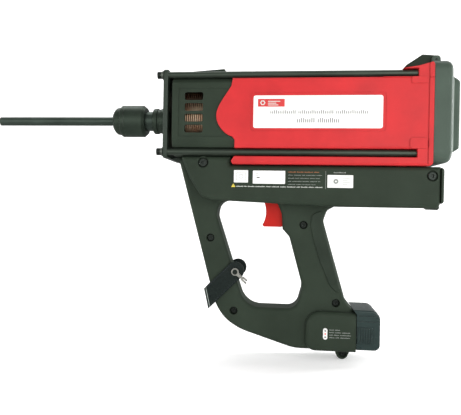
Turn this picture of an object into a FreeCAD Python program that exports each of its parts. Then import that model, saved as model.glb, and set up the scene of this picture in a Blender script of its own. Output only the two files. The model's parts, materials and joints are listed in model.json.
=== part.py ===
import FreeCAD, Part
import math
import os

# Gas-actuated insulation nailer, millimetres.
# Frame: origin at the centre of the muzzle, +X towards the rear cap, +Y to the tool's right hand side,
# +Z up. The barrel axis is the X axis. The left half of every mirrored pair lies at negative Y.

V = FreeCAD.Vector
X_AXIS = V(1, 0, 0)
Y_AXIS = V(0, 1, 0)
Z_AXIS = V(0, 0, 1)

# ---------------------------------------------------------------- driving dimensions
FIT = 0.1                    # radial play of a sliding fit
GAP = 0.3                    # clearance between bodies that pass each other
WALL = 2.5                   # moulded wall of the covers
HANDLE_WALL = 3.0            # moulded wall of the handle shells

TUBE_R = 5.5                 # nose tube
TUBE_BORE_R = 3.2
NAIL_POCKET_R = 3.7          # mouth of the tube that takes the fastener's nail
NAIL_POCKET_DEPTH = 25.0
CONE_X = 152.0               # front of the domed nose piece
COLLAR_X = 163.0             # front of the locking collar
COLLAR_LENGTH = 32.0
COLLAR_R = 19.7
SLEEVE_R = 12.0              # sleeve that slides in the hub
HUB_X = 204.5
HUB_R = 16.0

PLATE_X = 225.4              # front plate
PLATE_T = 5.5
PLATE_HALF_WIDTH = 44.0
PLATE_TOP = 55.5
PLATE_BOTTOM = -49.3
PLATE_EDGE_R = 1.0

ROD_R = 3.9                  # tie rods
ROD_Y = 40.0
ROD_TOP_Z = 48.5
ROD_LOW_Z = -42.0
ROD_REAR_X = 517.0
BOLT_SHANK_R = 2.5           # M5
BOLT_PLAY = 0.2              # play of a screw in its clearance hole
TAPPED_DEPTH = 17.0          # thread in the front end of a rod
STUD_LENGTH = 7.0            # threaded stud at its rear end

BODY_HALF_WIDTH = 46.5       # red covers
BODY_BOTTOM = -56.0
BODY_CROWN = 57.5            # top of the body on the centre line
ROOF_EDGE_Z = 51.0           # where the roof meets the rod channels
REAR_CROWN = 60.5            # top of the red covers at their rear end
CHANNEL_Y = 35.5             # inner face of the rod channels
BODY_REAR_X = 534.0

SHROUD_X = 236.6             # dark vented front shroud
SHROUD_HALF_WIDTH = 45.0
SHROUD_BOTTOM = -46.2
LIP_HALF_WIDTH = 35.0        # roof of the shroud, carried forward to the front plate
LIP_BOTTOM = 48.0

CAP_X = 534.3                # rear cap
CAP_REAR_X = 556.0
CAP_HALF_WIDTH = 46.5
CAP_TOP = 63.5
CAP_BOTTOM = -52.5
TOOL_REAR_X = 566.5          # rear face of the filter cover

CYLINDER_X = 244.0
CYLINDER_REAR_X = 404.0
CYLINDER_R = 28.0
CYLINDER_BORE_R = 24.0
FIN_R = 41.0
FIN_T = 0.9
FIN_COUNT = 24
FIN_PITCH = 2.4
PISTON_X = 386.0
DRIVER_R = 2.7
DRIVER_TIP_X = 112.0
CHAMBER_X = 392.0
CHAMBER_REAR_X = 470.5
CHAMBER_R = 35.0
HEAD_X = 479.0
HEAD_R = 40.0
HEAD_T = 10.0
HUB_SPIGOT_R = 14.0

BEAM_HALF_WIDTH = 40.0       # handle, upper beam
BEAM_TOP = -56.6
BEAM_REAR_X = 545.3
BEAM_EDGE_R = 5.5
STRUT_HALF_WIDTH = 18.0      # strut, grip and lower frame
FOOT_HALF_WIDTH = 26.0
FOOT_REAR_X = 456.4
FOOT_BOTTOM = -275.5
OPENING_TOP = -98.3
OPENING_BOTTOM = -227.6

M4_HEAD_R = 3.5
M4_SHANK_R = 2.0
M4_POCKET_R = 4.9
M5_HEAD_R = 4.25
M5_POCKET_R = 6.3
BOSS_WALL = 0.7              # wall of a screw boss round its pocket
M4_SEAT_MAX = 11.0           # farthest a screw head's seat lies from the middle plane
M4_BEARING = 4.0             # least depth of the seat under the shell's face
M5_SEAT_DEPTH = 4.4
LUG_HALF_WIDTH = 6.0         # hanging lug under the foot
M4_PLACES = [(280.8, -144.2, STRUT_HALF_WIDTH), (310.8, -232.4, STRUT_HALF_WIDTH),
             (393.2, -126.4, STRUT_HALF_WIDTH), (433.0, -218.8, STRUT_HALF_WIDTH),
             (443.5, -281.6, LUG_HALF_WIDTH)]
M5_PLACES = [(273.8, -54.3), (535.4, -67.2)]

DOOR_HINGE = (545.2, -102.6)
LATCH_PIVOT = (543.5, 70.7)
STRAP_EYE = (312.2, -184.5)


# ---------------------------------------------------------------- small tools
def rounded_loop(points, to_vector):
    """Closed wire through points (a, b, corner radius), corners rounded by tangent arcs."""
    count = len(points)
    starts = []
    for i, (a, b, radius) in enumerate(points):
        here = V(a, b, 0)
        before = V(points[i - 1][0], points[i - 1][1], 0) - here
        after = V(points[(i + 1) % count][0], points[(i + 1) % count][1], 0) - here
        if radius <= 0:
            starts.append((here, None, here))
            continue
        before.normalize()
        after.normalize()
        half_angle = before.getAngle(after) / 2
        reach = radius / math.tan(half_angle)
        middle_way = before + after
        middle_way.normalize()
        centre_distance = radius / math.sin(half_angle)
        middle = here + middle_way * (centre_distance - radius)
        starts.append((here + before * reach, middle, here + after * reach))
    edges = []
    for i, (first, middle, last) in enumerate(starts):
        if middle is not None:
            edges.append(Part.Arc(to_vector(first), to_vector(middle), to_vector(last)).toShape())
        following = starts[(i + 1) % count][0]
        if (following - last).Length > 1e-6:
            edges.append(Part.LineSegment(to_vector(last), to_vector(following)).toShape())
    return Part.Wire(Part.__sortEdges__(edges))


def prism_y(points, y0, y1):
    """Outline in the XZ plane, extruded from y0 to y1."""
    wire = rounded_loop(points, lambda p: V(p.x, y0, p.y))
    return Part.Face(wire).extrude(V(0, y1 - y0, 0))


def prism_x(points, x0, x1):
    """Outline in the YZ plane, extruded from x0 to x1."""
    wire = rounded_loop(points, lambda p: V(x0, p.x, p.y))
    return Part.Face(wire).extrude(V(x1 - x0, 0, 0))


def prism_y_inside(points, wall, y0, y1):
    """The same outline drawn in by the wall, for a cavity."""
    wire = rounded_loop(points, lambda p: V(p.x, y0, p.y))
    return Part.Face(wire).makeOffset2D(-wall).extrude(V(0, y1 - y0, 0))


def prism_x_inside(points, wall, x0, x1):
    wire = rounded_loop(points, lambda p: V(x0, p.x, p.y))
    return Part.Face(wire).makeOffset2D(-wall).extrude(V(x1 - x0, 0, 0))


def rectangle(a0, b0, a1, b1, radius=0.0):
    return [(a0, b0, radius), (a1, b0, radius), (a1, b1, radius), (a0, b1, radius)]


def box(x0, x1, y0, y1, z0, z1):
    return Part.makeBox(x1 - x0, y1 - y0, z1 - z0, V(x0, y0, z0))


def rod_x(radius, x0, x1, y=0.0, z=0.0):
    return Part.makeCylinder(radius, x1 - x0, V(x0, y, z), X_AXIS)


def rod_y(radius, y0, y1, x, z):
    return Part.makeCylinder(radius, y1 - y0, V(x, y0, z), Y_AXIS)


def ring_x(outer, inner, x0, x1, y=0.0, z=0.0):
    return rod_x(outer, x0, x1, y, z).cut(rod_x(inner, x0, x1, y, z))


def turned(profile):
    """Solid of revolution about the barrel axis from (x, radius) points."""
    points = [V(x, 0, r) for x, r in profile]
    points.append(points[0])
    return Part.Face(Part.makePolygon(points)).revolve(V(0, 0, 0), X_AXIS, 360)


def mirrored(shape):
    return shape.mirror(V(0, 0, 0), Y_AXIS)


def fuse_all(shapes):
    first = shapes[0]
    if len(shapes) == 1:
        return first
    return first.fuse(shapes[1:]).removeSplitter()


def round_outer_edges(shape, y_face, radius, sharp_x=None):
    """Round the edges that border the flat outer face at y_face, except one that lies at sharp_x."""
    edges = []
    for edge in shape.Edges:
        on_face = all(abs(vertex.Y - y_face) < 0.01 for vertex in edge.Vertexes)
        sharp = sharp_x is not None and all(abs(vertex.X - sharp_x) < 0.01 for vertex in edge.Vertexes)
        if on_face and not sharp:
            edges.append(edge)
    return shape.makeFillet(radius, edges)


def round_rear_edges(shape, x_face, radius):
    """Round the edges that border the flat face at x_face."""
    edges = []
    for edge in shape.Edges:
        if all(abs(vertex.X - x_face) < 0.01 for vertex in edge.Vertexes):
            edges.append(edge)
    return shape.makeFillet(radius, edges)


def coil_x(radius, wire_r, x0, x1, turns, y=0.0, z=0.0):
    """Round wire coil along X."""
    length = x1 - x0 - 2 * wire_r
    path = Part.makeHelix(length / turns, length, radius)
    profile = Part.Wire(Part.makeCircle(wire_r, V(radius, 0, 0), Y_AXIS))
    coil = Part.Wire(path.Edges).makePipeShell([profile], True, True)
    coil.rotate(V(0, 0, 0), Y_AXIS, 90)
    coil.translate(V(x0 + wire_r, y, z))
    return coil


def hex_socket_x(size, x0, x1, y, z):
    corners = [(y + size * math.cos(math.radians(60 * i)), z + size * math.sin(math.radians(60 * i)), 0)
               for i in range(6)]
    return prism_x(corners, x0, x1)


def hex_socket_y(size, y0, y1, x, z):
    corners = [(x + size * math.cos(math.radians(60 * i)), z + size * math.sin(math.radians(60 * i)), 0)
               for i in range(6)]
    return prism_y(corners, y0, y1)


# ---------------------------------------------------------------- nose
SLEEVE_FRONT_X = COLLAR_X + 15.3
FLANGE_X = COLLAR_X + 9.0


def make_nose_tube():
    free_length = CONE_X - 0.5
    tube = rod_x(TUBE_R, 0, free_length).fuse(rod_x(TUBE_R - 0.3, free_length - 1, SLEEVE_FRONT_X - GAP))
    flange = rod_x(10.0, FLANGE_X, SLEEVE_FRONT_X - GAP)
    bore = rod_x(TUBE_BORE_R, -1, SLEEVE_FRONT_X)
    pocket = rod_x(NAIL_POCKET_R, -1, NAIL_POCKET_DEPTH)
    body = fuse_all([tube, flange]).cut([bore, pocket])
    return body


def make_nose_cone():
    dome_front = V(CONE_X, 0, TUBE_R + 1.0)
    dome_side = V(CONE_X + 1.7, 0, 12.4)
    dome_rim = V(CONE_X + 5.8, 0, 16.8)
    rim_back = V(COLLAR_X - GAP, 0, 17.6)
    shank_front = V(COLLAR_X - GAP, 0, 13.0)
    shank_back = V(SLEEVE_FRONT_X - GAP, 0, 13.0)
    pocket_back = V(SLEEVE_FRONT_X - GAP, 0, 10.0 + FIT)
    pocket_front = V(FLANGE_X - FIT, 0, 10.0 + FIT)
    bore_back = V(FLANGE_X - FIT, 0, TUBE_R - 0.3 + FIT)
    bore_front = V(CONE_X, 0, TUBE_R - 0.3 + FIT)
    corners = [dome_rim, rim_back, shank_front, shank_back, pocket_back, pocket_front, bore_back,
               bore_front, dome_front]
    edges = [Part.Arc(dome_front, dome_side, dome_rim).toShape()]
    edges += [Part.LineSegment(a, b).toShape() for a, b in zip(corners, corners[1:])]
    return Part.Face(Part.Wire(edges)).revolve(V(0, 0, 0), X_AXIS, 360)


def make_lock_collar():
    rear = COLLAR_X + COLLAR_LENGTH
    step = SLEEVE_FRONT_X + 0.7
    return turned([(COLLAR_X, 13.3), (COLLAR_X, COLLAR_R - 1.6), (COLLAR_X + 1.6, COLLAR_R),
                   (COLLAR_X + 5.0, COLLAR_R), (COLLAR_X + 5.4, COLLAR_R - 0.4),
                   (COLLAR_X + 6.0, COLLAR_R - 0.4), (COLLAR_X + 6.4, COLLAR_R),
                   (rear - 3.6, COLLAR_R), (rear, COLLAR_R - 3.0), (rear, SLEEVE_R + GAP),
                   (step, SLEEVE_R + GAP), (step, 13.3)])


def make_nose_sleeve():
    yoke_x = PLATE_X + PLATE_T + 1.5
    return ring_x(SLEEVE_R, TUBE_BORE_R + FIT, SLEEVE_FRONT_X, yoke_x)


def make_nose_hub():
    bore = SLEEVE_R + FIT
    spigot_end = CYLINDER_X - 0.2
    plate_front = PLATE_X
    hub = turned([(HUB_X, bore), (HUB_X, HUB_R - 1.2), (HUB_X + 1.2, HUB_R), (HUB_X + 5.5, HUB_R),
                  (HUB_X + 6.5, HUB_R - 1.0), (HUB_X + 9.5, HUB_R - 1.0), (HUB_X + 10.5, HUB_R),
                  (plate_front - 4.0, HUB_R), (plate_front - 1.0, HUB_R + 3.0),
                  (plate_front, HUB_R + 3.0), (plate_front, 14.0), (spigot_end, 14.0), (spigot_end, bore)])
    yoke_slot = box(PLATE_X + PLATE_T + 0.3, spigot_end + 1, -4.0, 4.0, -20, 20)
    return hub.cut(yoke_slot)


# ---------------------------------------------------------------- frame
def rod_places():
    return [("upper_left", -ROD_Y, ROD_TOP_Z), ("upper_right", ROD_Y, ROD_TOP_Z),
            ("lower_left", -ROD_Y, ROD_LOW_Z), ("lower_right", ROD_Y, ROD_LOW_Z)]


def make_front_plate():
    outline = rectangle(-PLATE_HALF_WIDTH, PLATE_BOTTOM, PLATE_HALF_WIDTH, PLATE_TOP, 5.0)
    plate = prism_x(outline, PLATE_X, PLATE_X + PLATE_T)
    plate = round_rear_edges(plate, PLATE_X, PLATE_EDGE_R)
    rear = PLATE_X + PLATE_T
    plate = round_rear_edges(plate, rear, PLATE_EDGE_R)
    holes = [rod_x(BOLT_SHANK_R + BOLT_PLAY, PLATE_X - 1, rear + 1, y, z) for _, y, z in rod_places()]
    holes.append(rod_x(HUB_SPIGOT_R + FIT, PLATE_X - 1, rear + 1))
    return plate.cut(holes)


def make_tie_rod(y, z):
    front = PLATE_X + PLATE_T
    rod = rod_x(ROD_R, front, ROD_REAR_X, y, z)
    stud = rod_x(BOLT_SHANK_R - FIT, ROD_REAR_X - 1, ROD_REAR_X + STUD_LENGTH, y, z)
    tapped_hole = rod_x(BOLT_SHANK_R + FIT, front - 1, front + TAPPED_DEPTH, y, z)
    return fuse_all([rod, stud]).cut(tapped_hole)


FLAT_WASHER_X = PLATE_X - 1.2
FLAT_WASHER_R = 5.4
SPRING_WASHER_X = FLAT_WASHER_X - 1.7
SPRING_WASHER_R = 4.4
M5_HEAD_LENGTH = 4.6
M5_SOCKET_R = 2.3
SOCKET_DEPTH = 2.5


def make_tie_rod_bolts():
    bolts = []
    head_x = SPRING_WASHER_X - M5_HEAD_LENGTH
    tip_x = PLATE_X + PLATE_T + TAPPED_DEPTH - 2
    for _, y, z in rod_places():
        head = rod_x(M5_HEAD_R, head_x, SPRING_WASHER_X, y, z)
        shank = rod_x(BOLT_SHANK_R, SPRING_WASHER_X - 0.5, tip_x, y, z)
        socket = hex_socket_x(M5_SOCKET_R, head_x - 0.1, head_x + SOCKET_DEPTH, y, z)
        bolts.append(fuse_all([head, shank]).cut(socket))
    return Part.makeCompound(bolts)


def make_tie_rod_washers():
    washers = []
    bore = BOLT_SHANK_R + FIT
    for _, y, z in rod_places():
        split = box(SPRING_WASHER_X - 1, FLAT_WASHER_X + 1, y - 0.4, y + 0.4, z, z + 6)
        washers.append(ring_x(SPRING_WASHER_R, bore, SPRING_WASHER_X, FLAT_WASHER_X, y, z).cut(split))
        washers.append(ring_x(FLAT_WASHER_R, bore, FLAT_WASHER_X, PLATE_X, y, z))
    return Part.makeCompound(washers)


BRACKET_X = 262.0
BRACKET_REAR_X = 283.0
BRACKET_TOP = -46.8
BRACKET_BOTTOM = -61.0
BRACKET_HALF_WIDTH = 33.0
TONGUE_HALF_WIDTH = 11.5
TONGUE_BOTTOM = -58.0
M5_HOLE_END = 16.0           # the M5 holes stop this far from the middle plane


def make_front_bracket():
    """Forged block that ties the handle to the front plate; both front M5 screws end in it."""
    front = PLATE_X + PLATE_T
    root = BRACKET_X + 3
    tongue = prism_y([(front, BRACKET_TOP, 0), (root, BRACKET_TOP, 0), (root, TONGUE_BOTTOM, 0),
                      (248.0, TONGUE_BOTTOM, 0), (front, -49.0, 0)], -TONGUE_HALF_WIDTH, TONGUE_HALF_WIDTH)
    side = BRACKET_HALF_WIDTH
    block = box(BRACKET_X, BRACKET_REAR_X, -side, side, BRACKET_BOTTOM, BRACKET_TOP)
    block = block.fuse(tongue).removeSplitter()
    x, z = M5_PLACES[0]
    bore = BOLT_SHANK_R + FIT
    return block.cut([rod_y(bore, -side - 1, -M5_HOLE_END, x, z), rod_y(bore, M5_HOLE_END, side + 1, x, z)])


POST_R = 3.0
POST_CIRCLE_R = 35.0


def circle_places(radius, first_angle):
    """Six places evenly round the barrel axis, as (y, z)."""
    turns = [math.radians(first_angle + 60 * i) for i in range(6)]
    return [(radius * math.sin(turn), radius * math.cos(turn)) for turn in turns]


def make_rear_plate():
    """Cast plate that the tie rods pull against, with six posts that carry the cylinder head."""
    front = ROD_REAR_X + 3.0
    rear = ROD_REAR_X + STUD_LENGTH
    plate = prism_x(rectangle(-43.0, -47.0, 43.0, 52.3, 2.5), front, rear)
    posts = [rod_x(POST_R, HEAD_X + HEAD_T, front + 1, y, z) for y, z in circle_places(POST_CIRCLE_R, 30)]
    holes = [rod_x(BOLT_SHANK_R, front - 1, rear + 1, y, z) for _, y, z in rod_places()]
    holes.append(rod_x(16.0, front - 1, rear + 1))
    holes += [rod_x(7.0, front - 1, rear + 1, y, z) for y, z in circle_places(29.0, 0)]
    return fuse_all([plate.cut(holes)] + posts)


# ---------------------------------------------------------------- covers
def cover_section(side, bottom, side_low, side_high, bevel):
    """Full outline of the body in the YZ plane, with a channel for each tie rod."""
    low_z = ROD_LOW_Z
    turn = 1.2 + 0.4 * bevel
    left = [(-CHANNEL_Y, low_z + 5.0, 0.8), (-side + bevel, side_low, 1.5),
            (-side, side_low + 2 * bevel, turn), (-side, side_high - bevel, turn),
            (-side + bevel, side_high, 1.5), (-CHANNEL_Y, side_high, 0.8),
            (-CHANNEL_Y, ROOF_EDGE_Z, 4.0), (-15.0, BODY_CROWN, 30.0)]
    right = [(-a, b, r) for a, b, r in reversed(left)]
    strip_top = low_z - 5.0
    if bottom < strip_top - 2:
        foot_left = [(-side + 1.5, bottom, 2.0), (-side, bottom + 2.5, 1.5), (-side, strip_top, 0.8),
                     (-CHANNEL_Y, strip_top, 0.8)]
    else:
        foot_left = [(-CHANNEL_Y, bottom, 1.5)]
    foot_right = [(-a, b, r) for a, b, r in reversed(foot_left)]
    return foot_left + left + right + foot_right


def red_section():
    return cover_section(BODY_HALF_WIDTH, BODY_BOTTOM, ROD_LOW_Z + 4.6, ROD_TOP_Z - 4.9, 1.2)


def shroud_section():
    return cover_section(SHROUD_HALF_WIDTH, SHROUD_BOTTOM, ROD_LOW_Z + 5.4, ROD_TOP_Z - 5.2, 4.5)


def red_front_region(shift):
    """Everything behind the curved front edge of the red covers, seen from the side."""
    rear = 600.0
    upper = V(306.6 + shift, 0, 34.5)
    shoulder = V(293.7 + shift, 0, 14.0)
    nose = V(289.3 + shift, 0, 0.0)
    lower = V(293.4 + shift, 0, -12.8)
    notch = V(308.0 + shift, 0, -24.3)
    curve = Part.BSplineCurve()
    curve.interpolate([upper, shoulder, nose, lower, notch])
    points = [notch, V(311.2 + shift, 0, -28.0), V(311.2 + shift, 0, -46.4), V(307.3 + shift, 0, -52.7),
              V(309.5 + shift, 0, -57.0), V(309.5 + shift, 0, -80), V(rear, 0, -80), V(rear, 0, 90),
              V(307.8 + shift, 0, 90), V(307.8 + shift, 0, 41.8), upper]
    edges = [curve.toShape()]
    edges += [Part.LineSegment(a, b).toShape() for a, b in zip(points, points[1:])]
    face = Part.Face(Part.Wire(edges))
    face.translate(V(0, -100, 0))
    return face.extrude(V(0, 200, 0))


VENT_COUNT = 4
VENT_PITCH = 12.65
VENT_TOP_Z = 23.0
VENT_HALF_HEIGHT = 4.6
VENT_X = 251.5
VENT_REAR_X = 273.2
RELIEF = 0.6                 # depth of shallow panels pressed into a cover


def make_front_shroud():
    rear = 312.0
    outer = prism_x(shroud_section(), SHROUD_X, rear)
    inner = prism_x_inside(shroud_section(), WALL, SHROUD_X - 1, rear + 1)
    shell = outer.cut(inner)
    lip_x = PLATE_X + PLATE_T + GAP
    roof = prism_x(shroud_section(), lip_x, SHROUD_X + 1)
    roof = roof.cut(prism_x_inside(shroud_section(), WALL, lip_x - 1, SHROUD_X + 2))
    lip = roof.common(box(lip_x, SHROUD_X + 1, -LIP_HALF_WIDTH, LIP_HALF_WIDTH, LIP_BOTTOM, BODY_CROWN + 1))
    bump = prism_y([(lip_x, BODY_CROWN - 2, 0), (lip_x, 57.7, 0), (294.0, 62.4, 1.0), (296.2, 59.4, 0.5),
                    (296.2, BODY_CROWN - 2, 0)], -13.0, 13.0)
    shell = fuse_all([shell, lip, bump]).removeSplitter()
    tools = [red_front_region(-0.5)]
    for side in (-1, 1):
        face = side * SHROUD_HALF_WIDTH
        panel = prism_y(rectangle(244.0, -24.4, 330.0, 32.1, 1.5), face - 0.8, face + 0.8)
        tools.append(panel)
        for i in range(VENT_COUNT):
            z = VENT_TOP_Z - i * VENT_PITCH
            slot = rectangle(VENT_X, z - VENT_HALF_HEIGHT, VENT_REAR_X, z + VENT_HALF_HEIGHT, 2.4)
            tools.append(prism_y(slot, face - 6, face + 6))
    return shell.cut(tools)


LABEL_BOX = (332.5, -14.5, 478.5, 22.9)
LABEL_MARGIN = 3.5           # pressed panel round the rating label


PAD_RELIEF = 1.2             # raised pads at the rear end
REAR_CORNER_R = 4.0
RAMP_X = 478.0               # where the roof starts to rise towards the rear cap
ROD_REAR_Z_CEILING = 52.6    # height of the cavity behind the rods


def make_red_cover_left():
    front = 285.0
    side = -BODY_HALF_WIDTH
    ceiling = ROD_REAR_Z_CEILING
    outer = prism_x(red_section(), front, BODY_REAR_X)
    inner = prism_x_inside(red_section(), WALL, front - 1, BODY_REAR_X + 1)
    ramp = prism_y([(RAMP_X, 50.0, 0), (ROD_REAR_X, 55.6, 30.0), (BODY_REAR_X, REAR_CROWN, 0),
                    (BODY_REAR_X, 43.0, 0), (RAMP_X, 43.0, 0)], side, -5.0)
    ramp_hollow = prism_y([(RAMP_X + 4, ceiling - 5.6, 0), (ROD_REAR_X, ceiling, 30.0),
                           (BODY_REAR_X + 1, REAR_CROWN - 2.7, 0), (BODY_REAR_X + 1, 40.0, 0),
                           (RAMP_X + 4, 40.0, 0)], side + WALL, 0)
    crown = prism_y([(RAMP_X, BODY_CROWN - 3, 0), (RAMP_X, BODY_CROWN, 0), (BODY_REAR_X, REAR_CROWN, 0),
                     (BODY_REAR_X, BODY_CROWN - 3, 0)], -16.0, 0)
    rear_block = prism_x(rectangle(side, BODY_BOTTOM + 3, -CHANNEL_Y + 3, ROD_LOW_Z + 8, 0.5),
                         ROD_REAR_X, BODY_REAR_X)
    pad_outlines = (rectangle(509.3, 36.0, 527.2, 43.4, 1.0), rectangle(508.5, -37.0, 529.2, -25.3, 3.0))
    pads = [prism_y(outline, side - PAD_RELIEF, side + 1) for outline in pad_outlines]
    shell = fuse_all([outer, ramp.fuse(crown), rear_block])
    shell = fuse_all([shell] + pads)
    x0, z0, x1, z1 = LABEL_BOX
    label_frame = rectangle(x0 - LABEL_MARGIN, z0 - LABEL_MARGIN, x1 + LABEL_MARGIN, z1 + LABEL_MARGIN, 4.0)
    tools = [inner,
             ramp_hollow.common(box(ROD_REAR_X + WALL, 600, -60, 0, 0, 80)),
             box(ROD_REAR_X + WALL, BODY_REAR_X + 1, side + WALL, 0, BODY_BOTTOM + WALL, ceiling),
             box(RAMP_X + 4, ROD_REAR_X - 0.5, -CHANNEL_Y + WALL, 0, 40.0, 50.0),
             prism_y(label_frame, side - 1, side + RELIEF),
             box(527.4, 528.9, -60, side + 1.0, -60, 70),
             box(470.0, ROD_REAR_X, -50, -CHANNEL_Y, ROD_TOP_Z - 4.9, ROD_TOP_Z + 4.7)]
    for z in (ROD_TOP_Z, ROD_LOW_Z):
        tools.append(rod_x(BOLT_SHANK_R + BOLT_PLAY, ROD_REAR_X - 2, ROD_REAR_X + 6, -ROD_Y, z))
    tools.append(Part.makeCylinder(3.2, 12, V(GAS_RISER_X, 0, BODY_BOTTOM - 4), Z_AXIS))
    tools.append(box(200, 600, 0, 100, -100, 100))
    for corner_z, inward in ((BODY_BOTTOM, 1), (REAR_CROWN, -1)):
        z0, z1 = sorted((corner_z - inward, corner_z + inward * REAR_CORNER_R))
        corner = box(BODY_REAR_X - REAR_CORNER_R, BODY_REAR_X + 1, -60, 1, z0, z1)
        core = rod_y(REAR_CORNER_R, -61, 2, BODY_REAR_X - REAR_CORNER_R, corner_z + inward * REAR_CORNER_R)
        tools.append(corner.cut(core))
    shell = shell.cut(tools)
    return shell.common(red_front_region(0.0))


def air_window(radius):
    """Window through cap, gasket and filter cover."""
    return rectangle(-28.0, -34.0, 28.0, 40.0, radius)


def make_rear_cap():
    outline = rectangle(-CAP_HALF_WIDTH, CAP_BOTTOM, CAP_HALF_WIDTH, CAP_TOP, 13.0)
    cap = round_rear_edges(prism_x(outline, CAP_X, CAP_REAR_X), CAP_REAR_X, 8.0)
    inside = CAP_HALF_WIDTH - WALL
    hollow = prism_x(rectangle(-inside, CAP_BOTTOM + WALL, inside, CAP_TOP - WALL, 10.5), CAP_X - 1,
                     CAP_REAR_X - 3.0)
    window = prism_x(air_window(6.0), CAP_REAR_X - 6, CAP_REAR_X + 1)
    pivot_x, pivot_z = LATCH_PIVOT
    pad_rear = pivot_x + 8.5
    pad = prism_x(rectangle(-16.0, CAP_TOP - 4, 16.0, pivot_z - 3.5, 1.5), pivot_x - 6.5, pad_rear)
    pad = round_rear_edges(pad, pad_rear, 1.0)
    ears = []
    for y0, y1 in ((-16.0, -12.3), (12.3, 16.0)):
        ear = prism_y([(pivot_x - 5.5, pivot_z - 6, 0), (pivot_x + 5.5, pivot_z - 6, 0),
                       (pivot_x + 4.5, pivot_z + 4.5, 4.0), (pivot_x - 4.5, pivot_z + 4.5, 4.0)], y0, y1)
        ears.append(ear)
    cap = fuse_all([cap, pad] + ears)
    return cap.cut([hollow, window, rod_y(PIN_R + FIT, -17, 17, pivot_x, pivot_z)])


GASKET_T = 2.2


def make_rear_gasket():
    outer = prism_x(rectangle(-36.0, -43.0, 36.0, 48.5, 9.0), CAP_REAR_X, CAP_REAR_X + GASKET_T)
    return outer.cut(prism_x(air_window(6.0), CAP_REAR_X - 1, CAP_REAR_X + GASKET_T + 1))


def make_filter_cover():
    base_x = CAP_REAR_X + GASKET_T
    half_width = 33.0
    outline = rectangle(-half_width, -40.0, half_width, 47.5, 8.0)
    cover = round_rear_edges(prism_x(outline, base_x, TOOL_REAR_X), TOOL_REAR_X, 3.5)
    side_view = prism_y([(base_x, -41.0, 0), (base_x + 0.8, -40.0, 0), (TOOL_REAR_X, -34.5, 2.0),
                         (TOOL_REAR_X, 39.7, 2.0), (base_x + 0.8, 47.5, 0), (base_x, 48.5, 0)],
                        -half_width - 1, half_width + 1)
    cover = cover.common(side_view)
    hollow = prism_x(air_window(5.0), base_x - 1, TOOL_REAR_X - WALL)
    louvres = []
    for i in range(7):
        z = -30.0 + i * 10.2
        louvres.append(prism_x(rectangle(-22.0, z, 22.0, z + 4.2, 2.0), base_x, TOOL_REAR_X + 1))
    return cover.cut([hollow] + louvres)


def make_air_filter():
    frame = box(CAP_REAR_X - 18.0, CAP_REAR_X - 5.0, -38.0, 38.0, -42.0, 54.0)
    pleats = []
    for i in range(18):
        z = -38.5 + i * 5.2
        pleats.append(box(CAP_REAR_X - 9.0, CAP_REAR_X - 4.0, -35.0, 35.0, z, z + 2.4))
    return frame.cut(pleats)


def make_rear_latch():
    pivot_x, pivot_z = LATCH_PIVOT
    outline = [(-33.7, -7.0, 0.5), (-11.5, -7.0, 2.0), (-7.0, -3.0, 0), (1.5, -3.0, 2.0), (3.1, 3.0, 1.5),
               (0.9, 5.6, 1.5), (-14.8, 6.9, 2.0), (-33.3, -5.4, 0.5)]
    lever = prism_y(outline, -11.8, 11.8)
    lever.translate(V(pivot_x, 0, pivot_z))
    finger_dish = rod_y(9.0, -8.0, 8.0, pivot_x - 23.5, pivot_z + 9.5)
    ribs = [box(pivot_x - 13.5 + 2.6 * i, pivot_x - 12.3 + 2.6 * i, -9.0, 9.0, pivot_z + 5.2, pivot_z + 8)
            for i in range(5)]
    return lever.cut([finger_dish, rod_y(PIN_R + FIT, -13, 13, pivot_x, pivot_z)] + ribs)


def make_labels():
    """Rating label on the red cover; two pictogram stickers and an identification sticker on the beam."""
    floor = -BODY_HALF_WIDTH + 0.6
    stickers = [prism_y(rectangle(*LABEL_BOX, 2.5), floor - 0.4, floor)]
    face = -BEAM_HALF_WIDTH
    boxes = [(310.6, -77.3, 327.2, -62.9), (332.8, -78.4, 370.3, -63.2), (418.7, -82.0, 447.7, -67.4)]
    stickers += [prism_y(rectangle(*corners, 0.6), face - 0.35, face) for corners in boxes]
    return Part.makeCompound(stickers)


# ---------------------------------------------------------------- engine
LINK_Z = 36.0                # push bars of the nose linkage
LINK_BAR_R = 2.4


def make_cylinder():
    profile = [(CYLINDER_X, TUBE_BORE_R + FIT), (CYLINDER_X, CYLINDER_R - 2), (CYLINDER_X + 2, CYLINDER_R)]
    first_fin = CYLINDER_X + 3.0
    for i in range(FIN_COUNT):
        x = first_fin + i * FIN_PITCH
        fin_rear = x + FIN_T
        profile += [(x, CYLINDER_R), (x, FIN_R), (fin_rear, FIN_R), (fin_rear, CYLINDER_R)]
    wall_x = CYLINDER_X + 5.0
    profile += [(CYLINDER_REAR_X, CYLINDER_R), (CYLINDER_REAR_X, CYLINDER_BORE_R),
                (wall_x, CYLINDER_BORE_R), (wall_x, TUBE_BORE_R + FIT)]
    barrel = turned(profile)
    ports = []
    for angle in range(0, 360, 60):
        port = Part.makeCylinder(3.0, 40, V(PISTON_X - 74.0, 0, 0), Z_AXIS)
        port.rotate(V(0, 0, 0), X_AXIS, angle)
        ports.append(port)
    bar_notches = [rod_x(LINK_BAR_R + 1.0, CYLINDER_X - 1, 330.0, 0, z) for z in (-LINK_Z, LINK_Z)]
    return barrel.cut(ports + bar_notches)


def make_bumper():
    front = CYLINDER_X + 5.2
    return turned([(front, 4.5), (front, CYLINDER_BORE_R - 0.3), (front + 17, CYLINDER_BORE_R - 0.8),
                   (front + 21, CYLINDER_BORE_R - 4), (front + 21, 8.0), (front + 15, 4.5)])


RING_OFFSETS = (3.0, 8.0)
RING_WIDTH = 2.0


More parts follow.
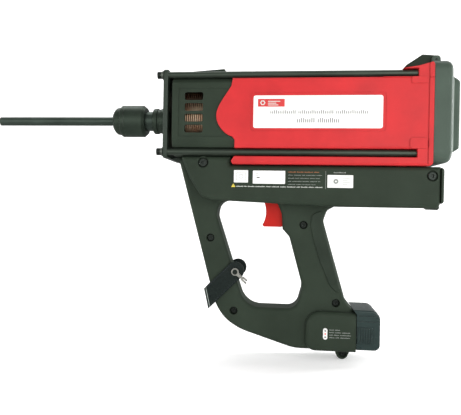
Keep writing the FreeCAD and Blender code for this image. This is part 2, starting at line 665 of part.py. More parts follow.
def make_piston():
    x = PISTON_X
    outer = CYLINDER_BORE_R - 0.6
    groove = outer - 2.2
    profile = [(x, 4.1), (x, 18.0), (x + 2.0, outer)]
    for offset in RING_OFFSETS:
        start = x + offset
        end = start + RING_WIDTH + 0.2
        profile += [(start, outer), (start, groove), (end, groove), (end, outer)]
    profile += [(x + 14.0, outer), (x + 14.0, 16.0), (x + 11.0, 14.0), (x + 11.0, 4.1)]
    return turned(profile)


def make_piston_rings():
    rings = []
    for offset in RING_OFFSETS:
        x = PISTON_X + offset + 0.1
        ring = ring_x(CYLINDER_BORE_R - 0.3, CYLINDER_BORE_R - 2.6, x, x + RING_WIDTH)
        rings.append(ring.cut(box(x - 1, x + 3, -0.5, 0.5, 20, 25)))
    return Part.makeCompound(rings)


def make_driver_rod():
    blade = rod_x(DRIVER_R, DRIVER_TIP_X, PISTON_X + 11.0)
    shank = rod_x(4.0, PISTON_X - 6.0, PISTON_X + 11.0)
    nut = hex_prism_on_axis(6.5, PISTON_X + 11.0, PISTON_X + 14.5)
    return fuse_all([blade, shank, nut])


def hex_prism_on_axis(size, x0, x1):
    return hex_socket_x(size, x0, x1, 0.0, 0.0)


def make_combustion_chamber():
    inner = CHAMBER_R - 3.0
    bore = CYLINDER_R + 0.4
    flange_r = 39.0
    step_x = CHAMBER_X + 4
    return turned([(CHAMBER_X, bore), (CHAMBER_X, flange_r), (step_x, flange_r), (step_x, CHAMBER_R),
                   (CHAMBER_REAR_X, CHAMBER_R), (CHAMBER_REAR_X, inner), (step_x, inner), (step_x, bore)])


def make_probe_linkage():
    """Yoke behind the nose sleeve and the two push bars that carry the chamber with it."""
    yoke_x = PLATE_X + PLATE_T + 1.5
    yoke = prism_x(rectangle(-3.5, -LINK_Z - 3.5, 3.5, LINK_Z + 3.5, 3.0), yoke_x, yoke_x + 3.2)
    bars = [rod_x(LINK_BAR_R, yoke_x + 3.0, CHAMBER_X, 0, z) for z in (-LINK_Z, LINK_Z)]
    return fuse_all([yoke] + bars).cut(rod_x(TUBE_BORE_R + FIT, yoke_x - 1, yoke_x + 5))


def make_chamber_spring():
    return coil_x(37.2, 1.1, CHAMBER_X + 4.2, HEAD_X - 0.2, 9)


def make_cylinder_head():
    spigot_r = 29.5
    groove_r = 27.7
    disc = turned([(HEAD_X - 5, 2.5), (HEAD_X - 5, spigot_r), (HEAD_X - 4, spigot_r),
                   (HEAD_X - 4, groove_r), (HEAD_X - 1.6, groove_r), (HEAD_X - 1.6, spigot_r),
                   (HEAD_X, spigot_r), (HEAD_X, HEAD_R), (HEAD_X + HEAD_T, HEAD_R), (HEAD_X + HEAD_T, 2.5)])
    plug_hole = rod_x(3.1, HEAD_X - 6, HEAD_X + 11, -PLUG_OFFSET, PLUG_OFFSET)
    gas_inlet = Part.makeCylinder(2.1, 10, V(HEAD_X + 5, 0, -HEAD_R - 1), Z_AXIS)
    return disc.cut([plug_hole, gas_inlet])


PLUG_OFFSET = 17.5


def make_head_seal():
    return Part.makeTorus(28.9, 1.0, V(HEAD_X - 2.8, 0, 0), X_AXIS)


def make_spark_plug():
    y = -PLUG_OFFSET
    z = PLUG_OFFSET
    thread = rod_x(3.0, HEAD_X - 8, HEAD_X + 11, y, z)
    hexagon = hex_socket_x(5.5, HEAD_X + 10, HEAD_X + 15, y, z)
    insulator = rod_x(3.4, HEAD_X + 14, HEAD_X + 27, y, z)
    terminal = rod_x(1.6, HEAD_X + 26, HEAD_X + 31, y, z)
    electrode = rod_x(0.8, HEAD_X - 11, HEAD_X - 7, y, z)
    return fuse_all([thread, hexagon, insulator, terminal, electrode])


def make_fan_motor():
    x = HEAD_X + 10.3
    can = rod_x(13.5, x, x + 24.0)
    can = round_rear_edges(can, x + 24.0, 2.0)
    bearing_cap = rod_x(5.0, x + 23.0, x + 27.0)
    tabs = [box(x + 23.0, x + 30.0, y - 0.4, y + 0.4, -2.0, 2.0) for y in (-9.0, 9.0)]
    return fuse_all([can, bearing_cap] + tabs).cut(rod_x(2.6, x - 1, x + 4))


FAN_BLADES = 6


def make_fan():
    hub_x = HEAD_X - 22.0
    hub = rod_x(6.0, hub_x, hub_x + 9.0)
    shaft = rod_x(2.0, hub_x + 2.0, HEAD_X + 13.0)
    pieces = [hub, shaft]
    for i in range(FAN_BLADES):
        blade = box(-0.7, 0.7, -5.5, 5.5, 4.5, 19.0)
        blade.rotate(V(0, 0, 0), Z_AXIS, 52)
        blade.translate(V(hub_x + 4.5, 0, 0))
        blade.rotate(V(0, 0, 0), X_AXIS, 360.0 / FAN_BLADES * i)
        pieces.append(blade)
    return fuse_all(pieces)


# ---------------------------------------------------------------- fuel system
CELL_AXIS_Z = -79.5
CELL_R = 16.5
GAS_RISER_X = 362.0


def make_gas_cell():
    z = CELL_AXIS_Z
    can = round_rear_edges(rod_x(CELL_R, 398.0, 528.0, 0, z), 528.0, 3.0)
    shoulder = Part.makeCone(8.0, CELL_R, 6.0, V(392.0, 0, z), X_AXIS)
    stem = rod_x(2.0, 386.2, 392.5, 0, z)
    return fuse_all([can, shoulder, stem])


def make_cell_sleeve():
    z = CELL_AXIS_Z
    tube = ring_x(CELL_R + 2.5, CELL_R + 0.6, 400.0, 541.0, 0, z)
    x, screw_z = M5_PLACES[1]
    lugs = [box(x - 6, x + 5.5, y0, y1, screw_z - 6, screw_z + 6) for y0, y1 in ((-34, -10), (10, 34))]
    bore = rod_x(CELL_R + 0.6, 400.0, 545.0, 0, z)
    screw_holes = [rod_y(BOLT_SHANK_R + FIT, y0, y1, x, screw_z) for y0, y1 in ((-35, -14), (14, 35))]
    return fuse_all([tube] + lugs).cut([bore] + screw_holes)


def make_metering_valve():
    z = CELL_AXIS_Z
    body = round_rear_edges(box(350.0, 380.0, -12.0, 12.0, z - 11.0, z + 11.0), 350.0, 2.0)
    nose = rod_x(6.5, 379.0, 386.0, 0, z)
    outlet = Part.makeCylinder(3.6, 5.0, V(GAS_RISER_X, 0, z + 10.5), Z_AXIS)
    outlet_bore = Part.makeCylinder(2.1, 8.0, V(GAS_RISER_X, 0, z + 9.0), Z_AXIS)
    stem_bore = rod_x(2.2, 383.0, 387.0, 0, z)
    return fuse_all([body, nose, outlet]).cut([outlet_bore, stem_bore])


GAS_LINE_Z = -48.0
GAS_BEND_R = 5.5


def make_gas_line():
    """Hose from the metering valve up into the body and back to the cylinder head."""
    start = V(GAS_RISER_X, 0, CELL_AXIS_Z + 12.0)
    corner_a = V(GAS_RISER_X, 0, GAS_LINE_Z)
    corner_b = V(HEAD_X + 5, 0, GAS_LINE_Z)
    end = V(HEAD_X + 5, 0, -HEAD_R + 3)
    r = GAS_BEND_R
    k = r * (1 - math.sqrt(0.5))
    a_in = corner_a - V(0, 0, r)
    a_out = corner_a + V(r, 0, 0)
    a_mid = corner_a + V(k, 0, -k)
    b_in = corner_b - V(r, 0, 0)
    b_out = corner_b + V(0, 0, r)
    b_mid = corner_b + V(-k, 0, k)
    path = Part.Wire([Part.LineSegment(start, a_in).toShape(), Part.Arc(a_in, a_mid, a_out).toShape(),
                      Part.LineSegment(a_out, b_in).toShape(), Part.Arc(b_in, b_mid, b_out).toShape(),
                      Part.LineSegment(b_out, end).toShape()])
    profile = Part.Wire(Part.makeCircle(2.0, start, Z_AXIS))
    return path.makePipeShell([profile], True, False)


DOOR_BOTTOM = -98.4
KNUCKLE_R = 3.1
PIN_R = 1.5


def make_gas_door():
    hinge_x, hinge_z = DOOR_HINGE
    inner = BEAM_REAR_X + 0.4
    outer = BEAM_REAR_X + 3.9
    side = BEAM_HALF_WIDTH - 0.3
    outline = rectangle(-side, DOOR_BOTTOM, side, BEAM_TOP - 1.0, 4.0)
    plate = round_rear_edges(prism_x(outline, inner, outer), outer, 3.2)
    knuckle = rod_y(KNUCKLE_R, -12.0, 12.0, hinge_x, hinge_z)
    web = box(inner, outer - 0.8, -12.0, 12.0, hinge_z, DOOR_BOTTOM + 1.0)
    rib_places = (-77.0, -74.0, -71.0, -68.0)
    grip_ribs = [box(outer - 0.3, outer + 0.5, -14.0, 14.0, z, z + 1.4) for z in rib_places]
    door = fuse_all([plate, knuckle, web] + grip_ribs)
    return door.cut(rod_y(PIN_R + FIT, -13, 13, hinge_x, hinge_z))


def make_hinge_pins():
    """Pins of the gas door and of the rear latch."""
    door = rod_y(PIN_R, -22.0, 22.0, *DOOR_HINGE)
    latch = rod_y(PIN_R, -16.0, 16.0, *LATCH_PIVOT)
    return Part.makeCompound([door, latch])


# ---------------------------------------------------------------- handle
def beam_outline():
    return [(246.0, -46.6, 2.0), (257.5, -73.0, 20.0), (271.0, -94.0, 12.0), (284.0, OPENING_TOP, 10.0),
            (430.0, -104.0, 60.0), (BEAM_REAR_X, -103.8, 6.0), (BEAM_REAR_X, BEAM_TOP, 0.0),
            (306.0, BEAM_TOP, 0.5), (306.0, -46.6, 0.5)]


def frame_outline():
    """Outer edge of strut, foot and grip."""
    return [(239.0, -46.6, 1.5), (286.5, -222.0, 60.0), (296.8, -240.5, 50.0), (316.0, -254.3, 70.0),
            (384.0, FOOT_BOTTOM, 60.0), (FOOT_REAR_X, FOOT_BOTTOM, 0.0), (FOOT_REAR_X, -229.5, 0.0),
            (446.0, -217.0, 1.5), (443.2, -212.0, 6.0), (416.6, -121.0, 10.0), (421.0, -108.5, 8.0),
            (436.0, -100.0, 0.0), (436.0, -75.0, 0.0), (262.0, -75.0, 0.0), (262.0, -46.6, 0.0)]


def opening_outline():
    """Hand opening between the strut and the grip."""
    return [(291.0, OPENING_TOP, 13.0), (361.9, -101.4, 0.5), (366.8, -113.0, 16.0), (368.2, -132.0, 1.0),
            (376.5, -141.0, 9.0), (393.2, -201.0, 20.0), (386.0, OPENING_BOTTOM, 14.0),
            (324.0, OPENING_BOTTOM, 26.0), (287.5, -117.0, 14.0)]


def barrel_outline():
    """Wide barrel of the foot that takes the battery."""
    return [(397.5, FOOT_BOTTOM, 12.0), (FOOT_REAR_X, FOOT_BOTTOM, 0.0), (FOOT_REAR_X, -229.0, 0.0),
            (397.5, -227.6, 18.0)]


def handle_outer():
    beam = prism_y(beam_outline(), -BEAM_HALF_WIDTH, 0)
    beam = round_outer_edges(beam, -BEAM_HALF_WIDTH, BEAM_EDGE_R, BEAM_REAR_X)
    frame = prism_y(frame_outline(), -STRUT_HALF_WIDTH, 0)
    frame = frame.cut(prism_y(opening_outline(), -STRUT_HALF_WIDTH - 1, 1))
    frame = round_outer_edges(frame, -STRUT_HALF_WIDTH, 5.0)
    barrel = prism_y(barrel_outline(), -FOOT_HALF_WIDTH, 0)
    barrel = round_outer_edges(barrel, -FOOT_HALF_WIDTH, 6.0, FOOT_REAR_X)
    lug_root = FOOT_BOTTOM + 2
    lug = prism_y([(432.5, lug_root, 0), (434.8, -281.5, 2.0), (442.6, -297.6, 7.0), (450.4, -281.5, 2.0),
                   (453.0, lug_root, 0)], -LUG_HALF_WIDTH, 0)
    return fuse_all([beam, frame, barrel, lug])


def handle_hollow():
    beam = prism_y_inside(beam_outline(), HANDLE_WALL, -BEAM_HALF_WIDTH + HANDLE_WALL, 0)
    wire = rounded_loop(frame_outline(), lambda p: V(p.x, 0, p.y))
    hole = rounded_loop(opening_outline(), lambda p: V(p.x, 0, p.y))
    inside = Part.Face(wire).makeOffset2D(-HANDLE_WALL).extrude(V(0, -STRUT_HALF_WIDTH + HANDLE_WALL, 0))
    kept = Part.Face(hole).makeOffset2D(HANDLE_WALL).extrude(V(0, -STRUT_HALF_WIDTH, 0))
    frame = inside.cut(kept)
    barrel = prism_y_inside(barrel_outline(), HANDLE_WALL, -FOOT_HALF_WIDTH + HANDLE_WALL, 0)
    return [beam, frame, barrel]


def window_outline(slack):
    """Small light window in the left side of the foot."""
    return rectangle(418.0 - slack, -260.6 - slack, 423.1 + slack, -247.1 + slack, 2.5)


def m4_seat(half_width):
    """Height of a screw head's seat in the left shell."""
    return -min(half_width - M4_BEARING, M4_SEAT_MAX)


def make_handle_shell(right_hand):
    """Left shell by default; the right shell is its mirror with pilot holes instead of pockets."""
    shell = handle_outer().cut(handle_hollow())
    bosses = []
    tools = []
    for x, z, half_width in M4_PLACES:
        bosses.append(rod_y(M4_POCKET_R + BOSS_WALL, -half_width + 1.0, 0, x, z))
        if right_hand:
            tools.append(rod_y(M4_SHANK_R + FIT / 2, -half_width + 3.0, 1, x, z))
        else:
            tools.append(rod_y(M4_POCKET_R, -half_width - 9, m4_seat(half_width), x, z))
            tools.append(rod_y(M4_SHANK_R + BOLT_PLAY, -half_width - 1, 1, x, z))
    for x, z in M5_PLACES:
        bosses.append(rod_y(M5_POCKET_R + 1.2, -BEAM_HALF_WIDTH + 1.5, -34.0, x, z))
        tools.append(rod_y(M5_POCKET_R, -BEAM_HALF_WIDTH - 1, -BEAM_HALF_WIDTH + M5_SEAT_DEPTH, x, z))
        tools.append(rod_y(BOLT_SHANK_R + BOLT_PLAY, -BEAM_HALF_WIDTH - 1, -30.0, x, z))
    hinge_x, hinge_z = DOOR_HINGE
    bosses.append(rod_y(KNUCKLE_R, -22.0, -12.0 - GAP, hinge_x, hinge_z))
    shell = fuse_all([shell] + bosses)
    slack = 0.4
    battery_bay = box(408.5, FOOT_REAR_X + 1, -21.0, 1, -270.2, -234.0)
    trigger_slot = box(360.0, 374.0, -TRIGGER_HALF_WIDTH - 0.5, 1, -130.6, -99.0)
    trigger_roof = box(343.2, 384.6, -TRIGGER_HALF_WIDTH - 0.5, 1, -103.4, -93.0)
    tongue_slot = box(225.0, BRACKET_X + 1, -TONGUE_HALF_WIDTH - slack, 1,
                      TONGUE_BOTTOM - slack, BRACKET_TOP + 1)
    bracket_seat = box(BRACKET_X - slack, BRACKET_REAR_X + slack, -BRACKET_HALF_WIDTH - slack, 1,
                       BRACKET_BOTTOM - slack, BRACKET_TOP + 1)
    hose_hole = Part.makeCylinder(3.6, 14, V(GAS_RISER_X, 0, BEAM_TOP - 8), Z_AXIS)
    tools += [battery_bay, trigger_slot, trigger_roof, tongue_slot, bracket_seat, hose_hole,
              rod_y(KNUCKLE_R + 1.3, -12.0 - GAP, 1, hinge_x, hinge_z),
              rod_y(PIN_R + FIT / 2, -22.5, 1, hinge_x, hinge_z),
              box(BEAM_REAR_X, 570, -60, -22.2, -120, -50)]
    if not right_hand:
        tools.append(prism_y(window_outline(0.2), -FOOT_HALF_WIDTH - 1, -18))
    shell = shell.cut(tools)
    shell = shell.common(box(200, 600, -100, 0, -400, 0))
    return mirrored(shell) if right_hand else shell


def grip_pad_outline():
    return [(415.5, -108.0, 3.0), (403.0, -113.5, 6.0), (401.5, -126.0, 10.0), (405.0, -144.0, 20.0),
            (412.0, -166.0, 30.0), (425.0, -198.0, 20.0), (434.0, -206.0, 2.0), (438.0, -203.5, 2.0),
            (414.5, -122.5, 8.0)]


def make_grip_pad():
    """Soft inlay that stands a little proud of the grip's side."""
    face = -STRUT_HALF_WIDTH - 1.4
    return round_outer_edges(prism_y(grip_pad_outline(), face, -STRUT_HALF_WIDTH), face, 1.0)


def cap_screw(x, z, seat, tip, head, shank, socket):
    """Cap screw along Y: the head rests on the seat and the shank ends at the tip."""
    body = fuse_all([rod_y(head, seat - head * 0.95, seat, x, z), rod_y(shank, seat - 1, tip, x, z)])
    return body.cut(hex_socket_y(socket, seat - head, seat - head * 0.4, x, z))


def make_shell_screws():
    """Five M4 screws across the shells; at each M5 place one screw from either side."""
    screws = [cap_screw(x, z, m4_seat(half_width), half_width - 4.5, M4_HEAD_R, M4_SHANK_R, 1.7)
              for x, z, half_width in M4_PLACES]
    m5_seat = -BEAM_HALF_WIDTH + M5_SEAT_DEPTH
    for x, z in M5_PLACES:
        screw = cap_screw(x, z, m5_seat, -20.0, M5_HEAD_R, BOLT_SHANK_R, M5_SOCKET_R)
        screws += [screw, mirrored(screw)]
    return Part.makeCompound(screws)


TRIGGER_HALF_WIDTH = 8.0
TRIGGER_TOP = -97.4          # the trigger runs in a slot in the underside of the beam
TRIGGER_SPRING_Z = -112.0


def make_trigger():
    side = -TRIGGER_HALF_WIDTH
    front_top = V(344.0, side, TRIGGER_TOP)
    front_waist = V(347.6, side, -113.0)
    front_toe = V(343.4, side, -127.6)
    toe = V(345.2, side, -129.8)
    heel = V(366.0, side, -129.8)
    back_low = V(376.0, side, -127.0)
    back_top = V(376.0, side, TRIGGER_TOP)
    edges = [Part.Arc(front_top, front_waist, front_toe).toShape()]
    corners = [front_toe, toe, heel, back_low, back_top, front_top]
    edges += [Part.LineSegment(a, b).toShape() for a, b in zip(corners, corners[1:])]
    body = Part.Face(Part.Wire(edges)).extrude(V(0, 2 * TRIGGER_HALF_WIDTH, 0))
    rounded = [edge for edge in body.Edges if isinstance(edge.Curve, Part.Circle)]
    body = body.makeFillet(1.5, rounded)
    return body.cut(rod_x(4.4, 372.0, 377.0, 0, TRIGGER_SPRING_Z))


def make_trigger_spring():
    return coil_x(3.4, 0.5, 372.2, 389.8, 7, 0.0, TRIGGER_SPRING_Z)


def make_trigger_switch():
    body = box(390.0, 409.0, -8.0, 8.0, -120.4, -104.6)
    spigot = rod_x(2.4, 386.0, 390.5, 0, TRIGGER_SPRING_Z)
    terminals = [box(408.5, 413.0, y - 0.4, y + 0.4, -114.0, -110.0) for y in (-4.0, 4.0)]
    return fuse_all([body, spigot] + terminals)


def make_ignition_coil():
    block = box(305.0, 343.0, -15.0, 15.0, -92.0, -64.0)
    core = box(309.0, 339.0, -18.0, 18.0, -83.0, -73.0)
    tower = Part.makeCylinder(4.0, 5.0, V(330.0, 8.0, -65.0), Z_AXIS)
    return fuse_all([block, core, tower])


def make_control_board():
    board = box(341.0, 397.0, -0.8, 0.8, -256.0, -231.0)
    chips = [box(343.0, 355.0, 0.7, 3.2, -248.0, -238.0), box(361.0, 367.0, 0.7, 7.0, -250.0, -236.0),
             box(374.0, 390.0, 0.7, 2.6, -246.0, -238.0)]
    capacitors = [rod_y(4.0, -9.0, -0.7, x, -243.0) for x in (348.0, 360.0)]
    return fuse_all([board] + chips + capacitors)


def make_battery_contacts():
    block = box(402.6, 408.2, -16.0, 16.0, -265.0, -240.5)
    blades = [box(407.0, 416.0, y - 0.5, y + 0.5, -258.0, -246.0) for y in (-10.0, 10.0)]
    return fuse_all([block] + blades)


def make_led_window():
    face = -FOOT_HALF_WIDTH
    return prism_y(window_outline(0.0), face - 0.5, face + 2.8)


# ---------------------------------------------------------------- battery
PACK_X = 456.9
PACK_REAR_X = 483.9
PACK_TOP = -224.6
PACK_BOTTOM = -271.5
PACK_HALF_WIDTH = 27.0
PACK_EDGE_R = 2.0


def make_battery_pack():
    head_outline = [(PACK_X, PACK_BOTTOM, 0), (PACK_REAR_X, PACK_BOTTOM, 7.0),
                    (PACK_REAR_X, PACK_TOP, 11.0), (452.8, PACK_TOP, 0), (PACK_X, PACK_TOP - 5.0, 0)]
    head = prism_y(head_outline, -PACK_HALF_WIDTH, PACK_HALF_WIDTH)
    for face in (-PACK_HALF_WIDTH, PACK_HALF_WIDTH):
        edges = [edge for edge in head.Edges
                 if all(abs(vertex.Y - face) < 0.01 and vertex.X > PACK_X + 1 for vertex in edge.Vertexes)]
        head = head.makeFillet(PACK_EDGE_R, edges)
    stick = prism_x(rectangle(-20.2, -269.6, 20.2, -234.8, 5.0), 410.0, PACK_X + 1)
    pack = fuse_all([head, stick])
    tools = [box(408.0, 418.0, y - 1.2, y + 1.2, -260.0, -244.0) for y in (-10.0, 10.0)]
    for side in (-1, 1):
        face = side * PACK_HALF_WIDTH
        groove = sorted((face, face - side))
        for z in (-231.4, -237.9):
            tools.append(box(458.5, 490, groove[0], groove[1], z, z + 1.2))
        pocket = sorted((side * 21.0, face + side * 0.1))
        tools.append(box(457.2, 475.5, pocket[0], pocket[1], -263.5, -244.6))
    return pack.cut(tools)


def make_battery_button():
    body = box(457.5, 475.2, -27.6, -23.8, -263.2, -244.9)
    ribs = [box(458.8 + 2.9 * i, 460.2 + 2.9 * i, -28.6, -27.0, -262.4, -245.7) for i in range(6)]
    return fuse_all([body] + ribs)


# ---------------------------------------------------------------- strap
STRAP_THICKNESS = 1.6
RIVET_HOLE_R = 2.6
STRAP_FACE_Y = 20.4          # outer face of the strap on either side of the strut
STRAP_END_R = 10.8           # rounded end round the eyelet
FOLD_TOP = (273.6, -207.8)
FOLD_BOTTOM = (280.4, -231.6)


def strap_band(depth):
    """Band round the strut: a U of the given outer depth, drawn along the fold."""
    lengthways = V(math.sqrt(0.5), 0, math.sqrt(0.5))
    fold_middle = V((FOLD_TOP[0] + FOLD_BOTTOM[0]) / 2, 0, (FOLD_TOP[1] + FOLD_BOTTOM[1]) / 2)
    eye = V(STRAP_EYE[0], 0, STRAP_EYE[1])
    reach = (eye - fold_middle).dot(lengthways)
    inset = STRAP_FACE_Y - depth
    start = V(FOLD_TOP[0], 0, FOLD_TOP[1])
    bend = 5.0 - inset
    outline = [(inset, -depth, bend), (reach, -depth, 0), (reach, depth, 0), (inset, depth, bend)]
    wire = rounded_loop(outline, lambda p: start + lengthways * p.x + V(0, p.y, 0))
    along_fold = V(FOLD_BOTTOM[0] - FOLD_TOP[0], 0, FOLD_BOTTOM[1] - FOLD_TOP[1])
    return Part.Face(wire).extrude(along_fold)


def make_strap():
    eye_x, eye_z = STRAP_EYE
    outer = strap_band(STRAP_FACE_Y)
    outer = outer.fuse(rod_y(STRAP_END_R, -STRAP_FACE_Y, STRAP_FACE_Y, eye_x, eye_z))
    inside = STRAP_FACE_Y - STRAP_THICKNESS
    inner = strap_band(inside).fuse(rod_y(30.0, -inside, inside, eye_x, eye_z))
    return outer.cut([inner, rod_y(RIVET_HOLE_R, -30, 30, eye_x, eye_z)])


def make_strap_rivet():
    eye_x, eye_z = STRAP_EYE
    outside = STRAP_FACE_Y + 4.6
    shank = rod_y(2.3, -outside, STRAP_FACE_Y + 0.2, eye_x, eye_z)
    heads = [rod_y(4.2, -STRAP_FACE_Y - 1.2, -STRAP_FACE_Y, eye_x, eye_z),
             rod_y(3.1, -outside, -outside + 1.0, eye_x, eye_z),
             rod_y(4.6, STRAP_FACE_Y, STRAP_FACE_Y + 1.4, eye_x, eye_z)]
    return fuse_all([shank] + heads)


CLASP_ANGLE = 40.0           # below the horizontal


def make_strap_clasp():
    """Snap clasp: a ring on the rivet, a slim shank and a forked tip."""
    eye_x, eye_z = STRAP_EYE
    y0 = -STRAP_FACE_Y - 3.4
    y1 = -STRAP_FACE_Y - 1.4
    ring = rod_y(4.4, y0, y1, eye_x, eye_z)
    shank = prism_y([(2.0, -2.4, 0), (13.0, -1.3, 0), (13.0, 1.3, 0), (2.0, 2.4, 0)], y0, y1)
    fork = [box(12.0, 19.5, y0, y1, -2.6, -0.5), box(12.0, 18.0, y0, y1, 0.5, 2.6)]
    shoulder = box(11.0, 13.5, y0, y1, -2.6, 2.6)
    arm = fuse_all([shank, shoulder] + fork)
    arm.rotate(V(0, 0, 0), Y_AXIS, CLASP_ANGLE)
    arm.translate(V(eye_x, 0, eye_z))
    return fuse_all([ring, arm]).cut(rod_y(RIVET_HOLE_R, -40, 0, eye_x, eye_z))


# ---------------------------------------------------------------- write every piece
def build_pieces():
    pieces = {
        "nose_tube": make_nose_tube(), "nose_cone": make_nose_cone(), "lock_collar": make_lock_collar(),
        "nose_sleeve": make_nose_sleeve(), "nose_hub": make_nose_hub(), "front_plate": make_front_plate(),
        "tie_rod_bolts": make_tie_rod_bolts(), "tie_rod_washers": make_tie_rod_washers(),
        "front_bracket": make_front_bracket(), "rear_plate": make_rear_plate(),
        "front_shroud": make_front_shroud(), "rear_cap": make_rear_cap(), "rear_gasket": make_rear_gasket(),
        "filter_cover": make_filter_cover(), "air_filter": make_air_filter(),
        "rear_latch": make_rear_latch(), "labels": make_labels(), "cylinder": make_cylinder(),
        "bumper": make_bumper(),
        "piston": make_piston(), "piston_rings": make_piston_rings(), "driver_rod": make_driver_rod(),
        "combustion_chamber": make_combustion_chamber(), "probe_linkage": make_probe_linkage(),
        "chamber_spring": make_chamber_spring(), "cylinder_head": make_cylinder_head(),
        "head_seal": make_head_seal(), "spark_plug": make_spark_plug(), "fan_motor": make_fan_motor(),
        "fan": make_fan(), "gas_cell": make_gas_cell(), "cell_sleeve": make_cell_sleeve(),
        "metering_valve": make_metering_valve(), "gas_line": make_gas_line(), "gas_door": make_gas_door(),
        "hinge_pins": make_hinge_pins(), "handle_shell_left": make_handle_shell(False),
        "handle_shell_right": make_handle_shell(True), "shell_screws": make_shell_screws(),
        "trigger": make_trigger(), "trigger_spring": make_trigger_spring(),
        "trigger_switch": make_trigger_switch(), "ignition_coil": make_ignition_coil(),
        "control_board": make_control_board(), "battery_contacts": make_battery_contacts(),
        "led_window": make_led_window(), "battery_pack": make_battery_pack(), "strap": make_strap(),
        "strap_rivet": make_strap_rivet(), "strap_clasp": make_strap_clasp(),
    }
    for name, y, z in rod_places():
        pieces["tie_rod_" + name] = make_tie_rod(y, z)
    for base, maker in (("red_cover", make_red_cover_left), ("grip_pad", make_grip_pad),
                        ("battery_button", make_battery_button)):
        left = maker()
        pieces[base + "_left"] = left
        pieces[base + "_right"] = mirrored(left)
    return pieces


os.makedirs("parts", exist_ok=True)
for piece_name, piece_shape in build_pieces().items():
    print(piece_name, len(piece_shape.Solids), piece_shape.isValid(), round(piece_shape.Volume, 1))
    piece_shape.exportStep(os.path.join("parts", piece_name + ".step"))
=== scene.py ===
import json
import math

import bmesh
import bpy
from mathutils import Matrix, Vector


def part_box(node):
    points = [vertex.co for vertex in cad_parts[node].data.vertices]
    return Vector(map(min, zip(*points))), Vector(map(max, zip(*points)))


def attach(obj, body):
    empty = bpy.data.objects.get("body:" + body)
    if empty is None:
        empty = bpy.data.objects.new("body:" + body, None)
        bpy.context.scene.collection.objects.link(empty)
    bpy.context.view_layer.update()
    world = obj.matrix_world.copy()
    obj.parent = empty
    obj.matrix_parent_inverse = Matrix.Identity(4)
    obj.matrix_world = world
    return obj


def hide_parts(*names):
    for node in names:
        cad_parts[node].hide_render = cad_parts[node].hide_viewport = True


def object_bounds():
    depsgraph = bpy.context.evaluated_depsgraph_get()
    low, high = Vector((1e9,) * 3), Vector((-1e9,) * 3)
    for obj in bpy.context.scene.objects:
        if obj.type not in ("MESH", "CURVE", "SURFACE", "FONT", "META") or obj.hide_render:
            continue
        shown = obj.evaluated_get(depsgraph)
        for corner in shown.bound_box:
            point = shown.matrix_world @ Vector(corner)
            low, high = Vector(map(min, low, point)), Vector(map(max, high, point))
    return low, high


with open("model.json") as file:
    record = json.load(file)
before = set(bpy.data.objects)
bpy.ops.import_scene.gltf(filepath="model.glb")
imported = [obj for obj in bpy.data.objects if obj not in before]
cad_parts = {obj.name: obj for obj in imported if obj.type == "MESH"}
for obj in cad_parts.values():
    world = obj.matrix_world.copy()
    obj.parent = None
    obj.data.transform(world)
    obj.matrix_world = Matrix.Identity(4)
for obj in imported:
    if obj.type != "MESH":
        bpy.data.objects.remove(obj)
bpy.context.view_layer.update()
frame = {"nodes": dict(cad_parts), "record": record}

# Looks of the gas insulation nailer. Metres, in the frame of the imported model:
# X back from the muzzle, Y to the tool's right hand side, Z up.

MM = 0.001
ROOT = "tool_frame"


# ---------------------------------------------------------------- camera
CAMERA_DISTANCE = 0.650
CAMERA_YAW = math.radians(6.0)
CAMERA_PITCH = math.radians(-0.5)
CAMERA_ROLL = math.radians(1.0)
CAMERA_LENS = 40.61                 # mm, on a sensor of SENSOR_WIDTH
SENSOR_WIDTH = 36.0
NEAREST, FARTHEST = 0.01, 50.0      # m, the camera's clipping distances
LOOK_AT_X = 0.303
LOOK_AT_Z = -0.1015


def make_camera():
    """Camera on the tool's left, turned a little so that the rear end is nearer."""
    right = Vector((math.cos(CAMERA_YAW), math.sin(CAMERA_YAW), 0))
    ahead = Vector((-math.sin(CAMERA_YAW), math.cos(CAMERA_YAW), 0))
    place = Vector((LOOK_AT_X, 0, LOOK_AT_Z)) - ahead * CAMERA_DISTANCE
    up = Vector((0, 0, 1)) * math.cos(CAMERA_PITCH) - ahead * math.sin(CAMERA_PITCH)
    ahead = ahead * math.cos(CAMERA_PITCH) + Vector((0, 0, 1)) * math.sin(CAMERA_PITCH)
    rolled_right = right * math.cos(CAMERA_ROLL) + up * math.sin(CAMERA_ROLL)
    rolled_up = up * math.cos(CAMERA_ROLL) - right * math.sin(CAMERA_ROLL)
    camera = bpy.data.objects.new("camera", bpy.data.cameras.new("camera"))
    camera.data.lens = CAMERA_LENS
    camera.data.sensor_width = SENSOR_WIDTH
    camera.data.clip_start = NEAREST
    camera.data.clip_end = FARTHEST
    turn = Matrix((rolled_right, rolled_up, -ahead)).transposed()
    camera.matrix_world = Matrix.Translation(place) @ turn.to_4x4()
    bpy.context.scene.collection.objects.link(camera)
    bpy.context.scene.camera = camera


# ---------------------------------------------------------------- node graphs
NOISE_LOW, NOISE_HIGH = 0.3, 0.7    # nearly all values of a noise lie between these
BEVEL_SAMPLES = 4
EDGE_STARTS, EDGE_FULL = 0.02, 0.25     # how far the rounded normal leans there


